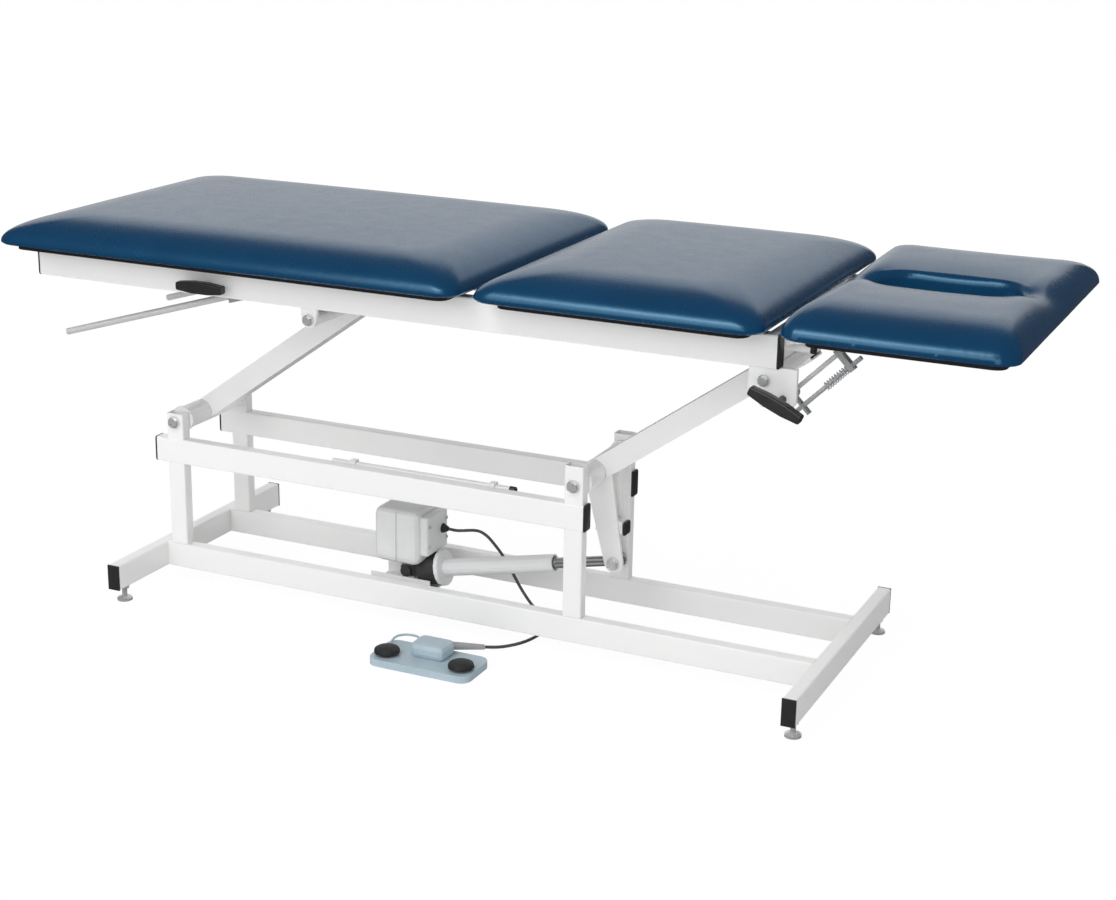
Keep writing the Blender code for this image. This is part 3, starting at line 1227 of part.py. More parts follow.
def mid_section():
    """The fixed middle board and cushion."""
    board("mid_board", MID_CUSHION_START, MID_CUSHION_END)
    plain_cushion("mid_cushion", MID_CUSHION_START, MID_CUSHION_END)


def head_section():
    """The head board and cushion, the bracket frame under them, the strut, clamp and handle."""
    slot_centre = (HEAD_CUSHION_START + SLOT_FROM_REAR + SLOT_LENGTH / 2, 0)
    hole = rounded(SLOT_LENGTH, SLOT_WIDTH, SLOT_WIDTH / 2 - GAP, 8, slot_centre)
    board("head_board", HEAD_CUSHION_START, HEAD_EDGE, holes=[hole])
    set_origin(bpy.data.objects["head_board"], HEAD_HINGE)
    set_origin(head_cushion(HEAD_CUSHION_START, HEAD_EDGE), HEAD_HINGE)
    top = BOARD_BOTTOM - GAP
    start = HEAD_HINGE.x + HEAD_EAR_WIDTH
    centre = (HEAD_HINGE.x, HEAD_HINGE.z)
    hole_points = ring(centre, HEAD_HINGE_PIN + RUNNING, PIN_SIDES)
    ear_y = HEAD_PLATE_Y - HEAD_HINGE_THICKNESS - FIT_PLAY
    pieces = []
    for sign in (-1, 1):
        ear = [(start, top), (HEAD_HINGE.x, top)] + arc(centre, HEAD_HINGE_EAR, 100, 270, 8)
        ear += [(start, top - HEAD_HINGE_EAR)]
        pieces.append(plate([ear, hole_points], HEAD_HINGE_THICKNESS, sign * ear_y))
    strap_x = start - CLEVIS_WIDTH / 2
    strap_z = top - STRAP_THICKNESS / 2
    pieces.append(block((CLEVIS_WIDTH, 2 * ear_y, STRAP_THICKNESS), (strap_x, 0, strap_z)))
    leg = (STRUT_PIVOT.x - strap_x, CLEVIS_WIDTH, STRAP_THICKNESS)
    pieces.append(block(leg, ((STRUT_PIVOT.x + strap_x) / 2, -STRUT_SIDE, strap_z)))
    cheek = STRUT_EYE_WIDTH / 2 + FIT_PLAY + CLEVIS_THICKNESS / 2
    pieces += rod_bracket(STRUT_PIVOT, (-STRUT_SIDE,), cheek)
    set_origin(place("head_bracket_frame", fuse(pieces), "white"), HEAD_HINGE)
    head_strut()


def head_strut():
    """Two parallel rods with a spring, held by the bracket under the head board and by the clamp."""
    side = -STRUT_SIDE
    pivot = across(STRUT_PIVOT, side)
    anchor = across(HANDLE_AXIS, side)
    back = (anchor - pivot).normalized()
    forward = -back
    out = Vector((forward.z, 0, -forward.x))
    span = (anchor - pivot).length
    centre = (pivot.x, pivot.z)
    eye = plate([ring(centre, STRUT_EYE_RADIUS), ring(centre, CLEVIS_PIN_RADIUS + RUNNING, PIN_SIDES)],
                STRUT_EYE_WIDTH, side)
    inner_rod = cylinder(pivot + back * (STRUT_EYE_RADIUS - TUBE_WALL / 2), anchor + back * STRUT_TAIL,
                         STRUT_ROD_RADIUS, sides=PIN_SIDES)
    set_origin(smooth(place("head_strut_inner_rod", fuse([eye, inner_rod]), "dark")), STRUT_PIVOT)
    low = anchor + out * STRUT_SPACING + forward * STRUT_OUTER_START
    high = anchor + out * STRUT_SPACING + forward * (span - OVERRUN)
    outer_rod = cylinder(low, high, STRUT_ROD_RADIUS, sides=PIN_SIDES)
    bracket_at = anchor + forward * STRUT_BRACKET_AT
    size = (STRUT_BRACKET_THICKNESS, STRUT_BRACKET_HALF * 2, STRUT_SPACING + STRUT_BRACKET_HALF * 2)
    bracket = block(size, bracket_at + out * STRUT_SPACING / 2, forward, out)
    reach = forward * STRUT_BRACKET_THICKNESS
    hole = cylinder(bracket_at - reach, bracket_at + reach, STRUT_ROD_RADIUS + GAP, sides=PIN_SIDES)
    bored = cut(fuse([outer_rod, bracket]), [hole])
    set_origin(smooth(place("head_strut_outer_rod", bored, "zinc")), STRUT_PIVOT)
    strut_spring(anchor + out * STRUT_SPACING, forward, out)
    strut_clamp(anchor, forward, out)


def strut_spring(start, forward, out):
    """The coil spring round the outer rod, just under the bracket."""
    end_at = STRUT_BRACKET_AT - STRUT_BRACKET_THICKNESS / 2 - STRUT_SPRING_WIRE - GAP
    begin_at = end_at - STRUT_SPRING_LENGTH
    count = STRUT_SPRING_TURNS * 8 + 1
    points = []
    for i in range(count):
        share = i / (count - 1)
        turn = 2 * math.pi * STRUT_SPRING_TURNS * share
        radial = out * math.cos(turn) + ACROSS * math.sin(turn)
        run = begin_at + (end_at - begin_at) * share
        points.append(start + forward * run + radial * STRUT_SPRING_RADIUS)
    pitch = STRUT_SPRING_LENGTH / STRUT_SPRING_TURNS
    print("least gap between the strut spring's turns", pitch - 2 * STRUT_SPRING_WIRE)
    set_origin(smooth(place("head_strut_spring", wire(points, STRUT_SPRING_WIRE, 1), "zinc")), STRUT_PIVOT)


def strut_clamp(anchor, forward, out):
    """The swivelling clamp block with its link to the outer rod, and the T-handle on its screw."""
    side = -STRUT_SIDE
    outer_face = side - YOKE_WIDTH / 2
    yoke = bar_across(HANDLE_AXIS, side + YOKE_WIDTH / 2, outer_face, YOKE_RADIUS)
    first = anchor + out * (YOKE_RADIUS - TUBE_WALL)
    last = anchor + out * (STRUT_SPACING + LINK_HALF + LINK_TIP)
    link = block((LINK_THICKNESS, LINK_HALF * 2, (last - first).length), (first + last) / 2, forward, out)
    holes = []
    for offset, reach in ((0, YOKE_RADIUS * 2), (STRUT_SPACING, LINK_THICKNESS)):
        centre = anchor + out * offset
        holes.append(cylinder(centre - forward * reach, centre + forward * reach, STRUT_ROD_RADIUS + RUNNING,
                              sides=PIN_SIDES))
    set_origin(smooth(place("head_clamp_block", cut(fuse([yoke, link]), holes), "zinc")), HANDLE_AXIS)
    outer = TOP_RAIL_Y + EAR_THICKNESS / 2 + HANDLE_STANDOFF * 2
    screw = bar_across(HANDLE_AXIS, outer_face - GAP, -outer - TUBE_WALL, CLAMP_SCREW_RADIUS)
    t_handle("head_clamp_handle", HANDLE_AXIS, HEAD_HANDLE_TILT_DEG, -outer - HANDLE_THICKNESS / 2, screw)


def pedal():
    """The foot pedal on the floor with its two pads, hump, loop, strain relief and cord."""
    outline = rounded(PEDAL_LENGTH, PEDAL_DEPTH, PEDAL_CORNER, 4, (PEDAL_X, PEDAL_Y))
    base = outline_solid([outline], PEDAL_PLATE, (0, 0, PEDAL_PLATE / 2), UP, ACROSS)
    pad_y = PEDAL_Y - PAD_FRONT
    low = PEDAL_PLATE + PAD_TRAVEL + GAP
    stem_bottom = low - PAD_WELL + PAD_TRAVEL / 2
    holes = []
    for sign, side in ((-1, "down"), (1, "up")):
        spot = Vector((PEDAL_X + sign * PAD_SIDE, pad_y, 0))
        well = spot + UP * (stem_bottom - PAD_TRAVEL - RUNNING)
        holes.append(cylinder(well, spot + UP * (PEDAL_PLATE + OVERRUN), PAD_STEM_RADIUS + RUNNING))
        profile = [(0, low + PAD_HEIGHT)]
        for rim_share in PAD_RIM_SHARES:
            dome = (1 - PAD_EDGE_SHARE) * math.sqrt(1 - rim_share ** 2)
            rise = PAD_HEIGHT * (PAD_EDGE_SHARE + dome)
            profile.append((PAD_RADIUS * rim_share, low + rise))
        profile += [(PAD_RADIUS, low + PAD_HEIGHT / 4), (PAD_RADIUS, low), (PAD_STEM_RADIUS, low),
                    (PAD_STEM_RADIUS, stem_bottom), (0, stem_bottom)]
        set_origin(smooth(place(f"pedal_{side}_pad", turned(profile, spot, UP), "black")), spot + UP * low)
    hump_y = PEDAL_Y + PEDAL_HUMP_BACK
    hump_z = PEDAL_PLATE - TUBE_WALL + PEDAL_HUMP_HEIGHT / 2
    hump = block((PEDAL_HUMP_LENGTH, PEDAL_HUMP_DEPTH, PEDAL_HUMP_HEIGHT), (PEDAL_X, hump_y, hump_z),
                 bevel=PEDAL_HUMP_HEIGHT / 3, segments=2)
    loop_y = PEDAL_Y + PEDAL_DEPTH / 2 - PEDAL_CORNER
    z = PEDAL_PLATE + GAP + PEDAL_LOOP_WIRE + PEDAL_LOOP_RISE
    sunk = PEDAL_PLATE - PEDAL_LOOP_WIRE * 2
    start_x = PEDAL_X - PEDAL_HUMP_LENGTH / 2 - PEDAL_LOOP_WIRE * 3
    left_x = start_x - PEDAL_LOOP_WIDTH
    knots = [
        (start_x, loop_y - PEDAL_CORNER, sunk), (start_x, loop_y + PEDAL_LOOP_REACH / 4, z),
        (start_x - PEDAL_LOOP_WIDTH / 4, loop_y + PEDAL_LOOP_REACH, z),
        (left_x + PEDAL_LOOP_WIDTH / 4, loop_y + PEDAL_LOOP_REACH, z),
        (left_x, loop_y + PEDAL_LOOP_REACH / 4, z), (left_x, loop_y - PEDAL_CORNER, sunk),
    ]
    loop = wire(smooth_route(knots, 16), PEDAL_LOOP_WIRE)
    smooth(place("pedal_base", fuse([cut(base, holes), hump, loop]), "cast"))
    relief_start = Vector((PEDAL_X + PEDAL_HUMP_LENGTH / 4, hump_y + PEDAL_HUMP_DEPTH / 2,
                           PEDAL_PLATE + RELIEF_RADIUS * 3 / 2))
    end = Vector(CORD_ROUTE[-1])
    ahead = (end - relief_start).normalized()
    relief_end = end - ahead * (GAP + CORD_RADIUS / 2)
    relief_root = relief_start + ahead * RELIEF_RADIUS * 3 / 4
    relief = cylinder(relief_root, relief_end, RELIEF_RADIUS, RELIEF_TIP_RADIUS, PIN_SIDES)
    smooth(place("pedal_strain_relief", relief, "grey"))
    route = [CORD_START, CORD_START + ALONG * CORD_LEAD] + CORD_ROUTE
    smooth(place("pedal_cord", wire(smooth_route(route, CORD_POINTS), CORD_RADIUS), "black"))


def main():
    """Build every piece."""
    base_frame()
    side_frames()
    pivot_shafts()
    set_origin(smooth(place("foot_torque_tube", torque_tube(FOOT_PIVOT), "white")), FOOT_PIVOT)
    lift_arm("foot", FOOT_PIVOT, FOOT_TOP_PIVOT)
    lift_arm("head", HEAD_PIVOT, HEAD_TOP_PIVOT)
    lift_lever()
    actuator()
    side_bar()
    top_frame()
    foot_section()
    mid_section()
    head_section()
    pedal()


main()
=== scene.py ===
"""Looks of a powered treatment table: navy vinyl pads, a white powder-coated lift frame, zinc hardware,
black plastic caps and handles, a grey actuator and a cast foot pedal.

Every size is in metres in the CAD's frame.  Pieces that are new here are numpy surfaces; the CAD's own
solids keep their shape and get the finish of the real part.
"""
import math

import bpy
import numpy as np
from mathutils import Matrix, Vector


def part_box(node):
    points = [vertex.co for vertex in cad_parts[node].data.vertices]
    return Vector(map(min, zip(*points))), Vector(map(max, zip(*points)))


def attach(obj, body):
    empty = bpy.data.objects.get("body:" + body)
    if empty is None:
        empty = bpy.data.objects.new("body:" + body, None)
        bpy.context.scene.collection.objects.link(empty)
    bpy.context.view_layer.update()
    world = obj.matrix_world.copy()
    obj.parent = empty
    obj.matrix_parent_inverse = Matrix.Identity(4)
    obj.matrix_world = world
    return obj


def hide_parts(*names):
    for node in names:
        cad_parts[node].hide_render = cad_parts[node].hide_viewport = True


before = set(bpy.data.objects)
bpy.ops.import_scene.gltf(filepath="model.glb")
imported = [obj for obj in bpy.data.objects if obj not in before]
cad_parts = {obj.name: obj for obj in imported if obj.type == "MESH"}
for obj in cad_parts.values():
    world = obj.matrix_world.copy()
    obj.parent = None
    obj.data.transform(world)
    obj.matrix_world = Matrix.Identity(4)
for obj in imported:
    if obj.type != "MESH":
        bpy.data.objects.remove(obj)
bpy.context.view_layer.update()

# Pads: the CAD's sizes, with the table's two ends drawn in a little
FOOT_PAD_START = -0.951
FOOT_PAD_END = 0.011
MID_PAD_START = 0.037
MID_PAD_END = 0.551
HEAD_PAD_START = 0.577
HEAD_PAD_END = 0.957
PAD_HALF_WIDTH = 0.343
PAD_BOTTOM = 0.70368
PAD_SKIRT = 0.006
PAD_CROWN = 0.046
PAD_SWELL = 0.004
PAD_CORNER = 0.035
PAD_TUCK = 0.009
CROWN_REACH = 0.126
# The underside's and the skirt's rings: inset from the widest line, and height
UNDERSIDE = ((0.030, 0), (PAD_TUCK, 0), (PAD_TUCK * 0.35, PAD_SKIRT * 0.3), (0.0008, PAD_SKIRT * 0.75))
# Inset from which the corner's radius grows, and by how much of the inset
CORNER_GROWS_FROM = 0.002
CORNER_GROWTH_SHARE = 0.25
MIDDLE_SHARES = (0.8, 0.6, 0.4, 0.2, 0.05)

# Gathers in the vinyl at the pads' corners, near the lower edge
PLEAT_DEPTH = 0.0007
PLEAT_HEIGHT = 0.03
PLEAT_ZONE = 0.09
PLEAT_START = 0.075
PLEAT_FADE = 0.03
PLEAT_WAVES = 22

# The head pad's face slot
SLOT_CENTRE = 0.760
SLOT_HALF_LENGTH = 0.125
SLOT_HALF_WIDTH = 0.060
SLOT_ROLL = 0.016
SLOT_DIP = 0.006
SLOT_DIP_FROM_SHARE = 0.6
SLOT_CORNER_SLACK = 0.0005
SLOT_WALL_SHARES = (0.35, 0.7, 1)

# Grids: points round a ring, steps of a corner, of the crown and of the slot's lip, and the powers
# that crowd the rings towards the pad's edge
AROUND = 384
CORNER_STEPS = 13
CROWN_STEPS = 26
ROLL_STEPS = 8
CROWN_POWER = 1.7
FACE_POWER = 1.5
FACE_FIRST_SHARE = 0.03
CAP_AROUND = 64
TIP_AROUND = 48
HEX_AROUND = 72
BAND_AROUND = 128

# Caps over the tubes' ends: rings of how far each grows past the tube, and how far out it lies
TUBE_WIDTH = 0.0254
CAP_LIP = 0.0042
CAP_GROW = 0.0004
CAP_CORNER = 0.004
CAP_LIFT = 0.0002
CAP_INSET = 0.003
CAP_EDGES = ((-0.0004, 0.0012), (-0.0005, CAP_LIP * 0.9), (-0.0016, CAP_LIP))

# Hexagon heads and the tips of round bars, in shares of their radius, size and length
HEX_RADIUS = 0.0088
HEX_UPPER_SHARE = 0.85
HEX_HEIGHT = 0.0052
HEX_SINK = 0.0002
HEX_HEIGHT_SHARES = (0, 0.14, 0.15, 0.84, 0.95, 1)
WASHER_SHARE = 1.16
CHAMFER_SHARE = 1.06
CROWN_SHARE = 0.97 * 0.9
TIP_WALL = 0.0007
TIP_SHARES = (0, 0.02, 0.75, 0.88, 0.96, 1.0)
TIP_RADIUS_SHARES = (0.9, 1.0, 1.0, 0.94, 0.8, 0.55)

# Where the caps and tips sit on the CAD's tubes
UPPER_RAIL_Y = 0.112
UPPER_RAIL_Z = 0.274
UPPER_RAIL_HEIGHT = 0.050
TOP_RAIL_Y = 0.2433
TOP_RAIL_Z = 0.66258
TOP_RAIL_HEIGHT = 0.057
TOP_RAIL_START = -0.916
TOP_RAIL_END = 0.554
STOP_X = 0.594
STOP_Y = 0.200
STOP_Z = 0.66008
STOP_RADIUS = 0.0066
STOP_LENGTH = 0.0085
BAR_RADIUS = 0.0061
BAR_INSET = 0.0082
BAR_TIP_START = 0.012
BAR_TIP_LENGTH = 0.013
BRACE_END = (0.19496, 0, 0.22426)
BRACE_WIDTH = 0.0274
BRACE_HEIGHT = 0.0245

# Actuator: screws on the end bell and the parting band of the housing
BELL_SCREW_RADIUS = 0.0034
BELL_SCREW_HEIGHT = 0.0028
BELL_SCREW_SINK = 0.0003
BELL_SCREW_SIDE = 0.034
BELL_SCREW_SHARES = (0.25, 0.75)
BELL_LOW = 0.02
BELL_MARGIN = 0.03
BAND_SHARE = 0.42
BAND_PROUD = 0.0006
BAND_SUNK = 0.002
BAND_CORNER = 0.0135
BAND_HEIGHTS = (0, 0.0006, 0.0026, 0.0032)

# Angles from which an edge is drawn sharp, on new pieces and on the CAD's
SHARP_DEG = 40
NODE_SHARP_DEG = 32

# The pedal's cord: its points repeat the CAD's, and the first two run straight out of the gland
CORD_RADIUS = 0.003
CORD_POINTS = 56
CORD_ROUTE = np.array([
    (-0.18474, 0.020, 0.15286), (-0.16474, 0.020, 0.15286),
    (-0.1313, 0.032, 0.1546), (-0.1128, 0.038, 0.1456), (-0.0963, 0.044, 0.126),
    (-0.0819, 0.050, 0.1039), (-0.064, 0.052, 0.075), (-0.040, 0.050, 0.040),
    (-0.012, 0.043, 0.014), (0.018, 0.030, 0.0055), (0.040, 0.004, 0.0035),
    (0.048, -0.045, 0.0035), (0.038, -0.100, 0.0035), (0.012, -0.140, 0.0035),
    (-0.016, -0.160, 0.0050),
])

# The camera, from points of the photograph set against the CAD
CAMERA_PLACE = (1.5247, -3.2326, 1.4665)
CAMERA_YAW_DEG = 24.4607
CAMERA_PITCH_DEG = 17.3838
CAMERA_ROLL_DEG = 0.9841
SENSOR = 36.0
CAMERA_FAR = 100
FOCAL_PIXELS = 1998.153
PHOTO_WIDTH = 1116

# Light: brightness of the world, of what glossy rays meet, and of the floor seen directly
WORLD_LIGHT = 0.80
DIM_ROOM = 0.08
FLOOR_GLOW = 1.02
FLOOR_GLOW_SHARE = 0.93
FLOOR_REACH = 30
# name, place, target, width, height, brightness, whether it shows in reflections alone
LAMPS = (
    ("streak_lamp", (-0.6, -2.3, 3.4), (0, 0, 0.6), 1.5, 0.9, 6.0, False),
    ("sheen_lamp", (-0.6, -2.4, 3.2), (0, 0, 0.6), 2.6, 2.2, 2.6, True),
    ("front_lamp", (-0.3, -5.4, 2.8), (0, 0, 0.5), 5.0, 2.4, 2.1, False),
    ("wall_lamp", (-3.9, 6.6, 2.4), (-3.9, 0, 1.8), 10.0, 5.6, 0.82, False),
)


class Amount:
    """A number that varies over a surface: arithmetic on it adds the material's Math nodes."""

    def __init__(self, finish, socket):
        self.finish = finish
        self.socket = socket

    def _with(self, operation, first, second):
        return self.finish.node("ShaderNodeMath", {"operation": operation}, [first, second])

    def __add__(self, other):
        return self._with("ADD", self, other)

    __radd__ = __add__

    def __mul__(self, other):
        return self._with("MULTIPLY", self, other)

    __rmul__ = __mul__


class Finish:
    """A material under construction, on the piece's own Object coordinates."""

    def __init__(self, name):
        self.made = bpy.data.materials.new(name)
        self.made.use_nodes = True
        self.tree = self.made.node_tree
        self.shader = self.tree.nodes["Principled BSDF"]
        self.where = self.tree.nodes.new("ShaderNodeTexCoord").outputs["Object"]

    def node(self, kind, settings, values, output=0):
        """A node with its settings set first, then the values or links of its sockets."""
        made = self.tree.nodes.new(kind)
        for key, value in settings.items():
            setattr(made, key, value)
        pairs = values.items() if isinstance(values, dict) else enumerate(values)
        for key, value in pairs:
            source = value.socket if isinstance(value, Amount) else value
            if isinstance(source, bpy.types.NodeSocket):
                self.tree.links.new(source, made.inputs[key])
            else:
                made.inputs[key].default_value = source
        return Amount(self, made.outputs[output])

    def noise(self, scale, detail=3.0, roughness=0.5, where=None):
        """Soft random lumps, scale of them to a metre."""
        vector = where or self.where
        values = {"Vector": vector, "Scale": scale, "Detail": detail, "Roughness": roughness}
        return self.node("ShaderNodeTexNoise", {}, values, "Fac")

    def cells(self, scale):
        """Smoothed distance within random cells, scale of them to a metre."""
        values = {"Vector": self.where, "Scale": scale}
        return self.node("ShaderNodeTexVoronoi", {"feature": "SMOOTH_F1"}, values, "Distance")

    def along(self, axis):
        """How far a point lies along an axis, in metres."""
        values = {0: self.where, 1: tuple(axis)}
        return self.node("ShaderNodeVectorMath", {"operation": "DOT_PRODUCT"}, values, "Value")

    def sine(self, amount):
        return self.node("ShaderNodeMath", {"operation": "SINE"}, [amount])

    def mix(self, share, first, second):
        """A colour between two, by share."""
        node = self.tree.nodes.new("ShaderNodeMix")
        node.data_type = "RGBA"
        for key, value in (("Factor", share), ("A", first), ("B", second)):
            socket = [s for s in node.inputs if s.name == key and s.enabled][0]
            source = value.socket if isinstance(value, Amount) else value
            if isinstance(source, bpy.types.NodeSocket):
                self.tree.links.new(source, socket)
            else:
                socket.default_value = source if key == "Factor" else (*source, 1)
        return Amount(self, [s for s in node.outputs if s.enabled][0])

    def set(self, **sockets):
        """Set or link the shader's sockets, given with _ for a space."""
        for key, value in sockets.items():
            socket = self.shader.inputs[key.replace("_", " ")]
            if isinstance(value, Amount):
                self.tree.links.new(value.socket, socket)
            elif isinstance(value, tuple) and len(value) == 3:
                socket.default_value = (*value, 1)
            else:
                socket.default_value = value
        return self

    def bump(self, height, distance, strength=1.0):
        """Raise the surface by a height, in metres at a height of 1."""
        values = {"Strength": strength, "Distance": distance, "Height": height}
        bumped = self.node("ShaderNodeBump", {}, values, "Normal")
        self.tree.links.new(bumped.socket, self.shader.inputs["Normal"])
        return self


def navy_vinyl():
    """Upholstery vinyl: fine pressed grain, soft unevenness in gloss, a thin clear top layer."""
    f = Finish("navy_vinyl")
    grain = f.cells(1100)
    soft = f.noise(9, 2)
    broad = f.noise(30, 4)
    f.set(Base_Color=f.mix(soft, (0.0018, 0.034, 0.092), (0.0028, 0.044, 0.114)))
    f.set(Roughness=0.22 + 0.09 * broad, Coat_Weight=0.12, Coat_Roughness=0.20)
    f.set(Specular_IOR_Level=0.72, Specular_Tint=(0.32, 0.72, 1.0, 1.0))
    return f.bump(grain * 0.35 + broad * 0.8, 0.00035, 0.5).made


def powder_coat():
    """White powder coat: a faint orange peel and slight clouding."""
    f = Finish("powder_coat_white")
    peel = f.noise(420, 2)
    cloud = f.noise(7, 3)
    f.set(Base_Color=f.mix(cloud, (0.86, 0.86, 0.855), (0.90, 0.90, 0.895)))
    f.set(Roughness=0.26 + 0.08 * peel, Coat_Weight=0.15, Coat_Roughness=0.15)
    return f.bump(peel, 0.0002, 0.4).made


def moulded_plastic(name, colour, lighter, roughness):
    """Moulded plastic: fine spark-eroded texture and handling wear in its gloss."""
    f = Finish(name)
    texture = f.noise(1600, 2)
    wear = f.noise(35, 4)
    f.set(Base_Color=f.mix(wear, colour, lighter))
    f.set(Roughness=roughness + 0.12 * wear)
    return f.bump(texture, 0.00012, 0.5).made


def plated_steel(name, dark, light, roughness, metal):
    """Zinc plate: bright, with a fine mottled bloom."""
    f = Finish(name)
    bloom = f.noise(60, 5, 0.6)
    fine = f.noise(650, 2)
    f.set(Base_Color=f.mix(bloom, dark, light), Metallic=metal)
    f.set(Roughness=roughness + 0.14 * bloom)
    return f.bump(fine, 0.00008, 0.4).made


def threaded_rod(name, axis):
    """Plated rod with a fine rolled thread: a sine of the distance along the rod darkens the roots as painted
    shade.
    """
    f = Finish(name)
    wave = f.sine(f.along(axis) * (2 * math.pi / 0.0018)) * 0.5 + 0.5
    bloom = f.noise(70, 4)
    # painted shade: the base colour darkens in the thread's roots, where the bump's grooves lie
    f.set(Base_Color=f.mix(wave, (0.62, 0.62, 0.63), (0.90, 0.90, 0.91)), Metallic=0.25)
    f.set(Roughness=0.28 + 0.15 * bloom)
    return f.bump(wave, 0.0005, 0.8).made


def sealed_plywood_and_painted_shade():
    """Plywood under a dark sealer, its near-black tone partly painted shade under the pads' edges: thin plies
    on the edges and long grain on the faces.
    """
    f = Finish("sealed_plywood_and_painted_shade")
    plies = f.sine(f.along((0, 0, 1)) * (2 * math.pi / 0.0034)) * 0.5 + 0.5
    stretched = f.node("ShaderNodeMapping", {}, {"Vector": f.where, "Scale": (3.0, 60.0, 60.0)}, "Vector")
    grain = f.noise(4, 5, 0.6, stretched.socket)
    # painted shade: the near-black base colour stands in partly for the shade under the pads' edges, besides
    # the sealer's own dark tone
    f.set(Base_Color=f.mix(plies * 0.5 + grain * 0.5, (0.006, 0.008, 0.012), (0.016, 0.018, 0.024)))
    f.set(Roughness=0.55 + 0.2 * grain)
    return f.bump(grain + plies * 0.4, 0.0004, 0.5).made


def cast_paint():
    """Grey-green hammered paint on a casting."""
    f = Finish("cast_paint")
    hammer = f.cells(260)
    cloud = f.noise(18, 4)
    f.set(Base_Color=f.mix(cloud, (0.36, 0.46, 0.52), (0.50, 0.61, 0.68)))
    f.set(Roughness=0.32 + 0.15 * cloud, Coat_Weight=0.2)
    return f.bump(hammer, 0.0005, 0.5).made


def painted_steel(name, dark, light, roughness):
    """Painted steel or alloy: faint flow in the paint and dust in its gloss."""
    f = Finish(name)
    flow = f.noise(260, 2)
    dust = f.noise(22, 5)
    f.set(Base_Color=f.mix(dust, dark, light))
    f.set(Roughness=roughness + 0.15 * dust, Coat_Weight=0.1)
    return f.bump(flow, 0.00018, 0.4).made


def surface(name, points, faces, body, finish):
    """A mesh piece that rides on a body, with a finish."""
    mesh = bpy.data.meshes.new(name)
    mesh.from_pydata(points.reshape(-1, 3).tolist(), [], faces)
    mesh.validate()
    mesh.update()
    mesh.shade_smooth()
    mesh.set_sharp_from_angle(angle=math.radians(SHARP_DEG))
    mesh.materials.append(finish)
    made = bpy.data.objects.new(name, mesh)
    bpy.context.scene.collection.objects.link(made)
    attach(made, body)
    return made


def grid_faces(rows, count, closed_rows=False):
    """Quads between neighbouring rings of a rows by count grid, closed around each ring."""
    i, j = np.meshgrid(np.arange(rows if closed_rows else rows - 1), np.arange(count), indexing="ij")
    below = (i + 1) % rows
    after = (j + 1) % count
    corners = [i * count + j, i * count + after, below * count + after, below * count + j]
    return np.stack(corners, axis=-1).reshape(-1, 4).tolist()


def poles(rows, count):
    """Fans of triangles that close the first and last ring on two more points."""
    j = np.arange(count)
    after = (j + 1) % count
    first = rows * count
    start = np.stack([np.full(count, first), after, j], axis=-1)
    last = (rows - 1) * count
    end = np.stack([np.full(count, first + 1), last + j, last + after], axis=-1)
    return start.tolist() + end.tolist()


def outline(half_x, half_y, corner, count=AROUND):
    """Points at even shares of a rounded rectangle's length, from the +X side, anticlockwise:
    four arcs of the corner's radius, read by interpolation on the length run so far."""
    turns = np.linspace(0, math.pi / 2, CORNER_STEPS)
    dense = []
    for sign_x, sign_y, start in ((1, 1, 0.0), (-1, 1, 0.5), (-1, -1, 1.0), (1, -1, 1.5)):
        angle = turns + start * math.pi
        dense.append(np.stack([
            sign_x * (half_x - corner) + corner * np.cos(angle),
            sign_y * (half_y - corner) + corner * np.sin(angle),
        ], axis=-1))
    path = np.concatenate([[[half_x, 0.0]], *dense, [[half_x, 0.0]]])
    run = np.concatenate([[0.0], np.cumsum(np.hypot(*np.diff(path, axis=0).T))])
    at = np.linspace(0, run[-1], count, endpoint=False)
    return np.stack([np.interp(at, run, path[:, 0]), np.interp(at, run, path[:, 1])], axis=-1)


def dome(inset):
    """The pad's height above its widest line: a quarter of an ellipse, then flat."""
    share = np.clip(np.asarray(inset) / CROWN_REACH, 0, 1)
    return PAD_CROWN * np.sqrt(1 - (1 - share) ** 2)


def pleats(points, half_x, half_y, strength):
    """How far the vinyl gathers at the corners: a cosine of the place round the corner, fading away."""
    past_x = np.abs(points[:, 0]) - half_x
    past_y = np.abs(points[:, 1]) - half_y
    reach = np.hypot(np.clip(past_x + PLEAT_ZONE, 0, None), np.clip(past_y + PLEAT_ZONE, 0, None))
    near = np.clip((reach - PLEAT_START) / PLEAT_FADE, 0, 1) ** 2
    turn = np.arctan2(past_y + PLEAT_ZONE / 2, past_x + PLEAT_ZONE / 2)
    return PLEAT_DEPTH * strength * near * np.cos(turn * PLEAT_WAVES)


def pad_rings(half_x, half_y):
    """Rings of a pad from its tucked underside up over its skirt and dome: each ring is the rounded
    outline drawn in by an inset, at the dome's height for that inset."""
    crown = CROWN_REACH * np.linspace(0, 1, CROWN_STEPS) ** CROWN_POWER
    low_insets, low_heights = zip(*UNDERSIDE)
    insets = np.concatenate([low_insets, crown])
    heights = np.concatenate([low_heights, PAD_SKIRT + dome(crown)])
    rings = []
    for inset, height in zip(insets, heights):
        corner = PAD_CORNER + max(inset - CORNER_GROWS_FROM, 0) * CORNER_GROWTH_SHARE
        ring = outline(half_x - inset, half_y - inset, corner)
        fade = max(0.0, 1 - height / PLEAT_HEIGHT)
        away = ring / np.linalg.norm(ring, axis=1, keepdims=True)
        ring = ring + away * pleats(ring, half_x, half_y, fade)[:, None]
        rings.append(np.column_stack([ring, np.full(len(ring), height)]))
    return np.array(rings)


def upholster(name, points, faces, body):
    """A cushion's vinyl, in place of the CAD's plain solid."""
    made = surface(name + "_vinyl", points, faces, body, VINYL)
    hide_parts(name)


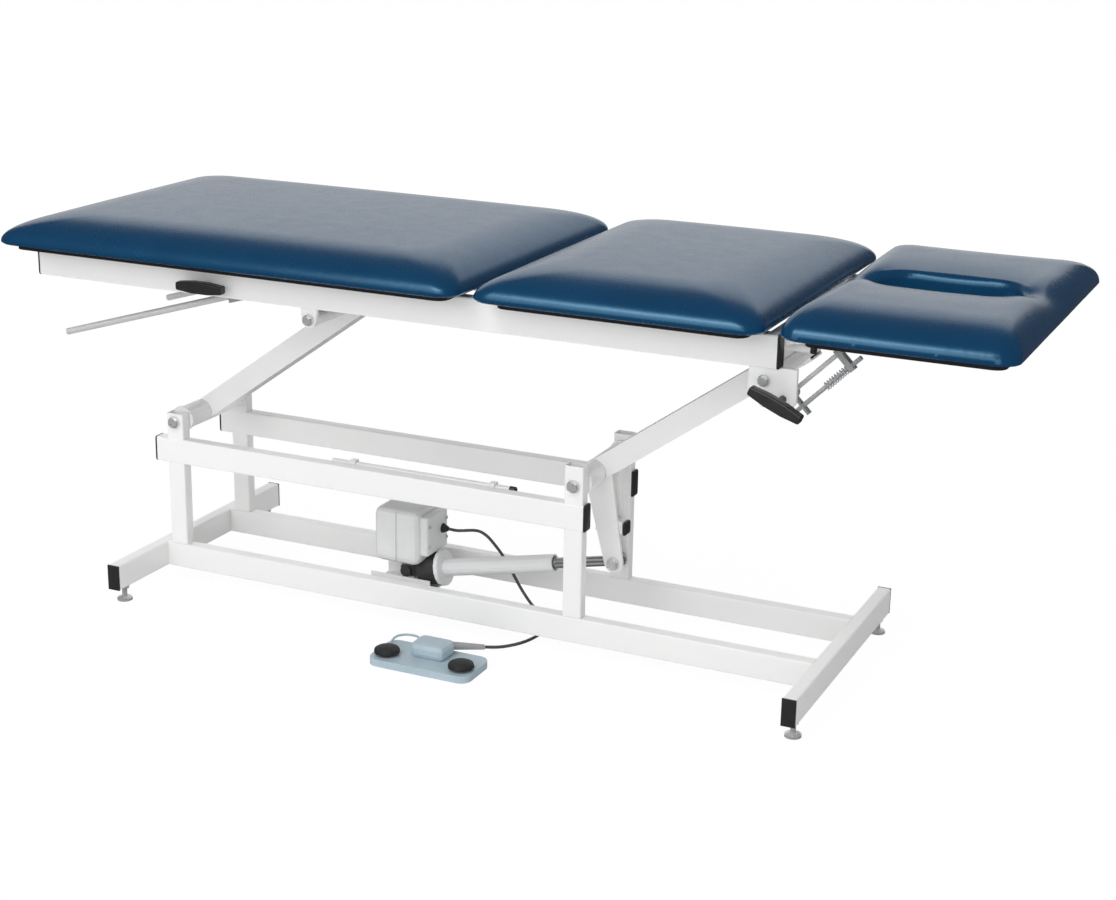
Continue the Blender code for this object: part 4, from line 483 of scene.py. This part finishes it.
def plain_pad(name, start, end, body):
    """A pad: the domed rings, then rings shrunk towards the middle, swollen by the product of two
    parabolas so that the top is never quite flat."""
    half_x = (end - start) / 2
    rings = pad_rings(half_x, PAD_HALF_WIDTH)
    inner = rings[-1]
    shrunk = [np.column_stack([inner[:, :2] * share, inner[:, 2]]) for share in MIDDLE_SHARES]
    rings = np.concatenate([rings, shrunk])
    swell = (1 - (rings[..., 0] / half_x) ** 2) * (1 - (rings[..., 1] / PAD_HALF_WIDTH) ** 2)
    top = rings[..., 2] > PAD_SKIRT
    rings[..., 2] += np.where(top, PAD_SWELL * np.clip(swell, 0, 1), 0)
    rows, count = rings.shape[:2]
    centre = np.array([[0, 0, 0], [0, 0, rings[-1, :, 2].mean()]])
    points = np.concatenate([rings.reshape(-1, 3), centre]) + ((start + end) / 2, 0, PAD_BOTTOM)
    faces = grid_faces(rows, count) + poles(rows, count)
    upholster(name, points, faces, body)


def face_pad(name, start, end, body):
    """The head pad: its rings pass from the outer outline to the face slot's by a growing share, roll
    over the slot's lip on a quarter circle and run down the slot to the underside."""
    half_x = (end - start) / 2
    middle = (start + end) / 2
    rings = pad_rings(half_x, PAD_HALF_WIDTH)[1:]
    slot = outline(SLOT_HALF_LENGTH, SLOT_HALF_WIDTH, SLOT_HALF_WIDTH - SLOT_CORNER_SLACK)
    slot[:, 0] += SLOT_CENTRE - middle
    away = slot - (SLOT_CENTRE - middle, 0)
    away = away / np.linalg.norm(away, axis=1, keepdims=True)
    lip = slot + away * SLOT_ROLL
    outer = rings[3][:, :2]
    span = np.linalg.norm(outer - lip, axis=1)
    stack = list(rings[:4])
    for share in np.linspace(FACE_FIRST_SHARE, 1, CROWN_STEPS) ** FACE_POWER:
        flat = outer + (lip - outer) * share
        inset = share * span
        past = (share - SLOT_DIP_FROM_SHARE) / (1 - SLOT_DIP_FROM_SHARE)
        dip = SLOT_DIP * np.clip(past, 0, 1) ** 2
        stack.append(np.column_stack([flat, PAD_SKIRT + dome(inset) - dip]))
    edge = stack[-1][:, 2]
    for turn in np.linspace(0, math.pi / 2, ROLL_STEPS)[1:]:
        flat = slot + away * SLOT_ROLL * (1 - math.sin(turn))
        stack.append(np.column_stack([flat, edge - SLOT_ROLL * (1 - math.cos(turn))]))
    low = stack[-1][:, 2]
    for share in SLOT_WALL_SHARES:
        stack.append(np.column_stack([slot, low * (1 - share)]))
    rings = np.array(stack)
    rows, count = rings.shape[:2]
    points = rings.reshape(-1, 3) + (middle, 0, PAD_BOTTOM)
    upholster(name, points, grid_faces(rows, count, True), body)


def turn_to(direction):
    """A turn whose Z lies along the direction."""
    return np.array(Vector(direction).to_track_quat("Z", "Y").to_matrix())


def loft(name, sections, heights, at, direction, body, finish):
    """A closed solid through flat sections stacked along a direction."""
    rings = np.array([np.column_stack([section, np.full(len(section), height)])
                      for section, height in zip(sections, heights)])
    rows, count = rings.shape[:2]
    ends = rings[[0, -1]].mean(axis=1)
    local = np.concatenate([rings.reshape(-1, 3), ends])
    points = local @ turn_to(direction).T + at
    return surface(name, points, grid_faces(rows, count) + poles(rows, count), body, finish)


def tube_cap(name, face, direction, width, height, body):
    """A black cap pushed on a tube's end: rounded sections that draw in over a small edge radius."""
    steps = (CAP_EDGES[0], (CAP_GROW, 0.0), (CAP_GROW, CAP_LIP * 0.55), *CAP_EDGES[1:])
    wide_first = abs(turn_to(direction)[2, 0]) < 0.5
    half = (width / 2, height / 2) if wide_first else (height / 2, width / 2)
    sections = [outline(half[0] + grow, half[1] + grow, CAP_CORNER, CAP_AROUND) for grow, _ in steps]
    heights = [CAP_LIFT + rise for _, rise in steps]
    return loft(name, sections, heights, np.array(face), direction, body, BLACK)


def round_tip(name, start, direction, radius, length, body):
    """A black tip over a round bar: circles that draw in over a domed end."""
    radii = radius * np.array(TIP_RADIUS_SHARES) + TIP_WALL
    heights = np.array(TIP_SHARES) * length
    angle = np.linspace(0, 2 * math.pi, TIP_AROUND, endpoint=False)
    circle = np.stack([np.cos(angle), np.sin(angle)], axis=-1)
    sections = [circle * r for r in radii]
    return loft(name, sections, heights, np.array(start), direction, body, BLACK)


def hex_head(name, at, direction, size, height, body):
    """A hexagon bolt head: the six flats' reach is the size over the cosine of the angle from the
    nearest flat's middle, and the top is chamfered to a circle, with a washer face under it."""
    angle = np.linspace(0, 2 * math.pi, HEX_AROUND, endpoint=False)
    flat = size / np.cos((angle + math.pi / 6) % (math.pi / 3) - math.pi / 6)
    ray = np.stack([np.cos(angle), np.sin(angle)], axis=-1)
    chamfer = np.minimum(flat, size * CHAMFER_SHARE)
    sections = [ray * (size * WASHER_SHARE)] * 2 + [ray * flat[:, None]] * 2
    sections += [ray * chamfer[:, None], ray * (size * CROWN_SHARE)]
    heights = [height * share for share in HEX_HEIGHT_SHARES]
    return loft(name, sections, heights, np.array(at), direction, body, ZINC)


def route(knots, count):
    """A smooth curve through the knots: on each leg, a cubic of its two ends and its two neighbours."""
    padded = np.concatenate([knots[:1], knots, knots[-1:]])
    place = np.linspace(0, len(knots) - 1, count)
    leg = np.minimum(place.astype(int), len(knots) - 2)
    t = (place - leg)[:, None]
    a, b, c, d = (padded[leg + k] for k in range(4))
    square = 2 * a - 5 * b + 4 * c - d
    cube = 3 * b - a - 3 * c + d
    return (2 * b + (c - a) * t + square * t ** 2 + cube * t ** 3) / 2


def pedal_cord():
    """The cord from the actuator's gland to the pedal, a round tube along its route."""
    points = route(CORD_ROUTE, CORD_POINTS)
    curve = bpy.data.curves.new("pedal_cord_jacket", "CURVE")
    curve.dimensions = "3D"
    curve.bevel_depth = CORD_RADIUS
    curve.bevel_resolution = 4
    curve.use_fill_caps = True
    spline = curve.splines.new("POLY")
    spline.points.add(len(points) - 1)
    spline.points.foreach_set("co", np.column_stack([points, np.ones(len(points))]).ravel())
    curve.materials.append(CORD)
    made = bpy.data.objects.new("pedal_cord_jacket", curve)
    bpy.context.scene.collection.objects.link(made)
    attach(made, "base")
    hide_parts("pedal_cord")


def finish_of(node):
    """The finish of a CAD solid, from what the part is."""
    rules = (
        (("_board",), PLYWOOD),
        (("end_cap", "handle"), BLACK),
        (("support_rod",), THREAD_FOOT),
        (("inner_rod",), THREAD_HEAD),
        (("levelling", "shaft", "lever_pin", "lead_screw"), ZINC),
        (("hinge", "saddle", "clamp_block", "head_strut"), ZINC),
        (("actuator_rod",), CHROME),
        (("actuator_barrel",), BARREL),
        (("actuator_motor",), MOTOR),
        (("gear_case", "rear_fork"), GEAR_CASE),
        (("actuator_mount",), MOUNT),
        (("pedal_base",), CAST),
        (("strain_relief",), GREY_RUBBER),
        (("pad", "gland", "cord"), RUBBER),
    )
    for words, finish in rules:
        if any(word in node for word in words):
            return finish
    return POWDER


def dress_nodes():
    """Give every CAD solid its finish, shaded smooth up to its corners."""
    for name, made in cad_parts.items():
        made.data.materials.clear()
        made.data.materials.append(finish_of(name))
        made.data.shade_smooth()
        made.data.set_sharp_from_angle(angle=math.radians(NODE_SHARP_DEG))


def caps_and_tips():
    """Black caps on the open tubes' ends, and tips on the head stops and the side bar."""
    for side, sign in (("near", -1), ("far", 1)):
        low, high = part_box(f"side_frame_{side}")
        rails = (
            ("upper_rail_cap", (low[0] + CAP_INSET, high[0] - CAP_INSET), sign * UPPER_RAIL_Y,
             UPPER_RAIL_Z, UPPER_RAIL_HEIGHT, "base"),
            ("top_rail_cap", (TOP_RAIL_START, TOP_RAIL_END), sign * TOP_RAIL_Y,
             TOP_RAIL_Z, TOP_RAIL_HEIGHT, "top_frame"),
        )
        for name, ends, y, z, height, body in rails:
            for end, x, ahead in zip(("foot", "head"), ends, (-1, 1)):
                tube_cap(f"{name}_{end}_{side}", (x, y, z), (ahead, 0, 0), TUBE_WIDTH, height, body)
        stop = (STOP_X, sign * STOP_Y, STOP_Z)
        round_tip(f"head_stop_tip_{side}", stop, (1, 0, 0), STOP_RADIUS, STOP_LENGTH, "top_frame")
    low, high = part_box("side_bar")
    bar = (high[0] - BAR_TIP_START, high[1] - BAR_INSET, (low[2] + high[2]) / 2)
    round_tip("side_bar_tip", bar, (1, 0, 0), BAR_RADIUS, BAR_TIP_LENGTH, "base")
    tube_cap("lever_brace_cap", BRACE_END, (1, 0, 0), BRACE_WIDTH, BRACE_HEIGHT, "head_arm")


def bolt_heads():
    """Hexagon heads outside the flat heads of the pivot shafts."""
    bodies = {
        "foot_lower_shaft": "base",
        "head_lower_shaft": "base",
        "foot_upper_shaft": "top_frame",
        "head_upper_shaft": "top_frame",
        "lever_pin": "head_arm",
    }
    for node, body in bodies.items():
        low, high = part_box(node)
        x = (low[0] + high[0]) / 2
        z = (low[2] + high[2]) / 2
        size = HEX_RADIUS * HEX_UPPER_SHARE if "upper" in node else HEX_RADIUS
        for side, y, ahead in (("near", low[1] + HEX_SINK, -1), ("far", high[1] - HEX_SINK, 1)):
            hex_head(f"{node}_head_{side}", (x, y, z), (0, ahead, 0), size, HEX_HEIGHT, body)


def actuator_details():
    """Screws on the motor's end bell and a parting band round its housing."""
    low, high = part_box("actuator_motor")
    for sign, tag in ((-1, "n1"), (1, "1")):
        for share in BELL_SCREW_SHARES:
            z = low[2] + BELL_LOW + (high[2] - low[2] - BELL_MARGIN) * share
            place = (high[0] - BELL_SCREW_SINK, sign * BELL_SCREW_SIDE, z)
            hex_head(f"bell_screw_{tag}_{int(share * 100)}", place, (1, 0, 0),
                     BELL_SCREW_RADIUS, BELL_SCREW_HEIGHT, "actuator_body")
    half_y = (high[1] - low[1]) / 2
    half_z = (high[2] - low[2]) / 2
    band_at = np.array((low[0] + (high[0] - low[0]) * BAND_SHARE, 0, (low[2] + high[2]) / 2))
    grows = (BAND_PROUD, -BAND_SUNK)
    ring, tight = (outline(half_z + grow, half_y + grow, BAND_CORNER, BAND_AROUND) for grow in grows)
    loft("motor_parting_band", [tight, ring, ring, tight], BAND_HEIGHTS, band_at,
         (1, 0, 0), "actuator_body", MOTOR)


def light_paths(tree):
    """The Light Path node's switches, in a material's tree or the world's."""
    return tree.nodes.new("ShaderNodeLightPath").outputs


def blend(tree, share, first, second):
    """A mix of two shaders."""
    mixed = tree.nodes.new("ShaderNodeMixShader")
    for place, source in enumerate((share, first, second)):
        tree.links.new(source, mixed.inputs[place])
    return mixed.outputs[0]


def glowing(tree, kind, strength):
    """A plain white light source of the kind of node given, in a material's tree or the world's."""
    made = tree.nodes.new(kind)
    made.inputs["Color"].default_value = (1, 1, 1, 1)
    made.inputs["Strength"].default_value = strength
    return made.outputs[0]


def studio():
    """A pale floor that ends in the backdrop's white, soft lamps and a plain world.  Glossy rays meet a
    dim room with one bright wall, which is what puts the sheen on the pads' tops and not on their sides."""
    reach = FLOOR_REACH
    floor = bpy.data.meshes.new("floor")
    square = [(-reach, -reach, 0), (reach, -reach, 0), (reach, reach, 0), (-reach, reach, 0)]
    floor.from_pydata(square, [], [(0, 1, 2, 3)])
    pale = Finish("studio_floor")
    pale.set(Base_Color=(0.92, 0.92, 0.92), Roughness=0.9)
    tree = pale.tree
    path = light_paths(tree)
    seen = Amount(pale, path["Is Camera Ray"]) * FLOOR_GLOW_SHARE
    dim = glowing(tree, "ShaderNodeEmission", DIM_ROOM)
    quiet = blend(tree, path["Is Glossy Ray"], pale.shader.outputs[0], dim)
    whole = blend(tree, seen.socket, quiet, glowing(tree, "ShaderNodeEmission", FLOOR_GLOW))
    tree.links.new(whole, tree.nodes["Material Output"].inputs["Surface"])
    floor.materials.append(pale.made)
    made = bpy.data.objects.new("floor", floor)
    bpy.context.scene.collection.objects.link(made)
    for row in LAMPS:
        lamp(*row)
    world = bpy.data.worlds.new("studio")
    world.use_nodes = True
    bpy.context.scene.world = world
    tree = world.node_tree
    path = light_paths(tree)
    light, dim, white = (glowing(tree, "ShaderNodeBackground", level) for level in (WORLD_LIGHT, DIM_ROOM, 1))
    whole = blend(tree, path["Is Camera Ray"], blend(tree, path["Is Glossy Ray"], light, dim), white)
    tree.links.new(whole, tree.nodes["World Output"].inputs["Surface"])


def lamp(name, place, target, width, height, brightness, sheen_only):
    """A soft rectangular lamp that faces its target; its power follows from its area and brightness.
    A sheen lamp shows in reflections and lights nothing else."""
    data = bpy.data.lights.new(name, "AREA")
    data.shape = "RECTANGLE"
    data.size = width
    data.size_y = height
    data.energy = brightness * width * height * math.pi
    made = bpy.data.objects.new(name, data)
    made.location = place
    made.rotation_euler = (Vector(target) - Vector(place)).to_track_quat("-Z", "Y").to_euler()
    made.visible_camera = False
    made.visible_diffuse = not sheen_only
    bpy.context.scene.collection.objects.link(made)


def camera():
    """The camera at the photograph's place: a yaw, a pitch and a small roll."""
    data = bpy.data.cameras.new("camera")
    data.sensor_width = SENSOR
    data.lens = SENSOR * FOCAL_PIXELS / PHOTO_WIDTH
    data.clip_end = CAMERA_FAR
    made = bpy.data.objects.new("camera", data)
    yaw = Matrix.Rotation(math.radians(CAMERA_YAW_DEG), 4, "Z")
    pitch = Matrix.Rotation(math.radians(90 - CAMERA_PITCH_DEG), 4, "X")
    roll = Matrix.Rotation(math.radians(CAMERA_ROLL_DEG), 4, "Z")
    made.matrix_world = Matrix.Translation(CAMERA_PLACE) @ yaw @ pitch @ roll
    bpy.context.scene.collection.objects.link(made)
    bpy.context.scene.camera = made
    bpy.context.scene.view_settings.view_transform = "Standard"


VINYL = navy_vinyl()
POWDER = powder_coat()
BLACK = moulded_plastic("black_plastic", (0.016, 0.016, 0.017), (0.032, 0.032, 0.034), 0.34)
RUBBER = moulded_plastic("black_rubber", (0.012, 0.012, 0.013), (0.026, 0.026, 0.028), 0.5)
CORD = moulded_plastic("cord_jacket", (0.05, 0.05, 0.052), (0.09, 0.09, 0.092), 0.45)
GREY_RUBBER = moulded_plastic("grey_rubber", (0.33, 0.34, 0.35), (0.45, 0.46, 0.47), 0.5)
MOTOR = moulded_plastic("motor_grey", (0.70, 0.71, 0.705), (0.78, 0.79, 0.785), 0.42)
ZINC = plated_steel("zinc_plate", (0.62, 0.63, 0.64), (0.84, 0.85, 0.86), 0.22, 0.6)
CHROME = plated_steel("rod_chrome", (0.42, 0.42, 0.43), (0.54, 0.54, 0.55), 0.12, 0.8)
BARREL = painted_steel("barrel_grey", (0.76, 0.77, 0.775), (0.84, 0.85, 0.855), 0.28)
GEAR_CASE = painted_steel("gear_case_black", (0.02, 0.02, 0.022), (0.05, 0.05, 0.052), 0.4)
MOUNT = painted_steel("mount_grey", (0.76, 0.76, 0.765), (0.84, 0.84, 0.845), 0.42)
PLYWOOD = sealed_plywood_and_painted_shade()
CAST = cast_paint()
THREAD_FOOT = threaded_rod("foot_rod_thread", (0.9583, 0, 0.2855))
THREAD_HEAD = threaded_rod("head_rod_thread", (0.7071, 0, 0.7071))

camera()
pedal_cord()
dress_nodes()
plain_pad("foot_cushion", FOOT_PAD_START, FOOT_PAD_END, "foot_section")
plain_pad("mid_cushion", MID_PAD_START, MID_PAD_END, "top_frame")
face_pad("head_cushion", HEAD_PAD_START, HEAD_PAD_END, "head_section")
caps_and_tips()
bolt_heads()
actuator_details()
studio()
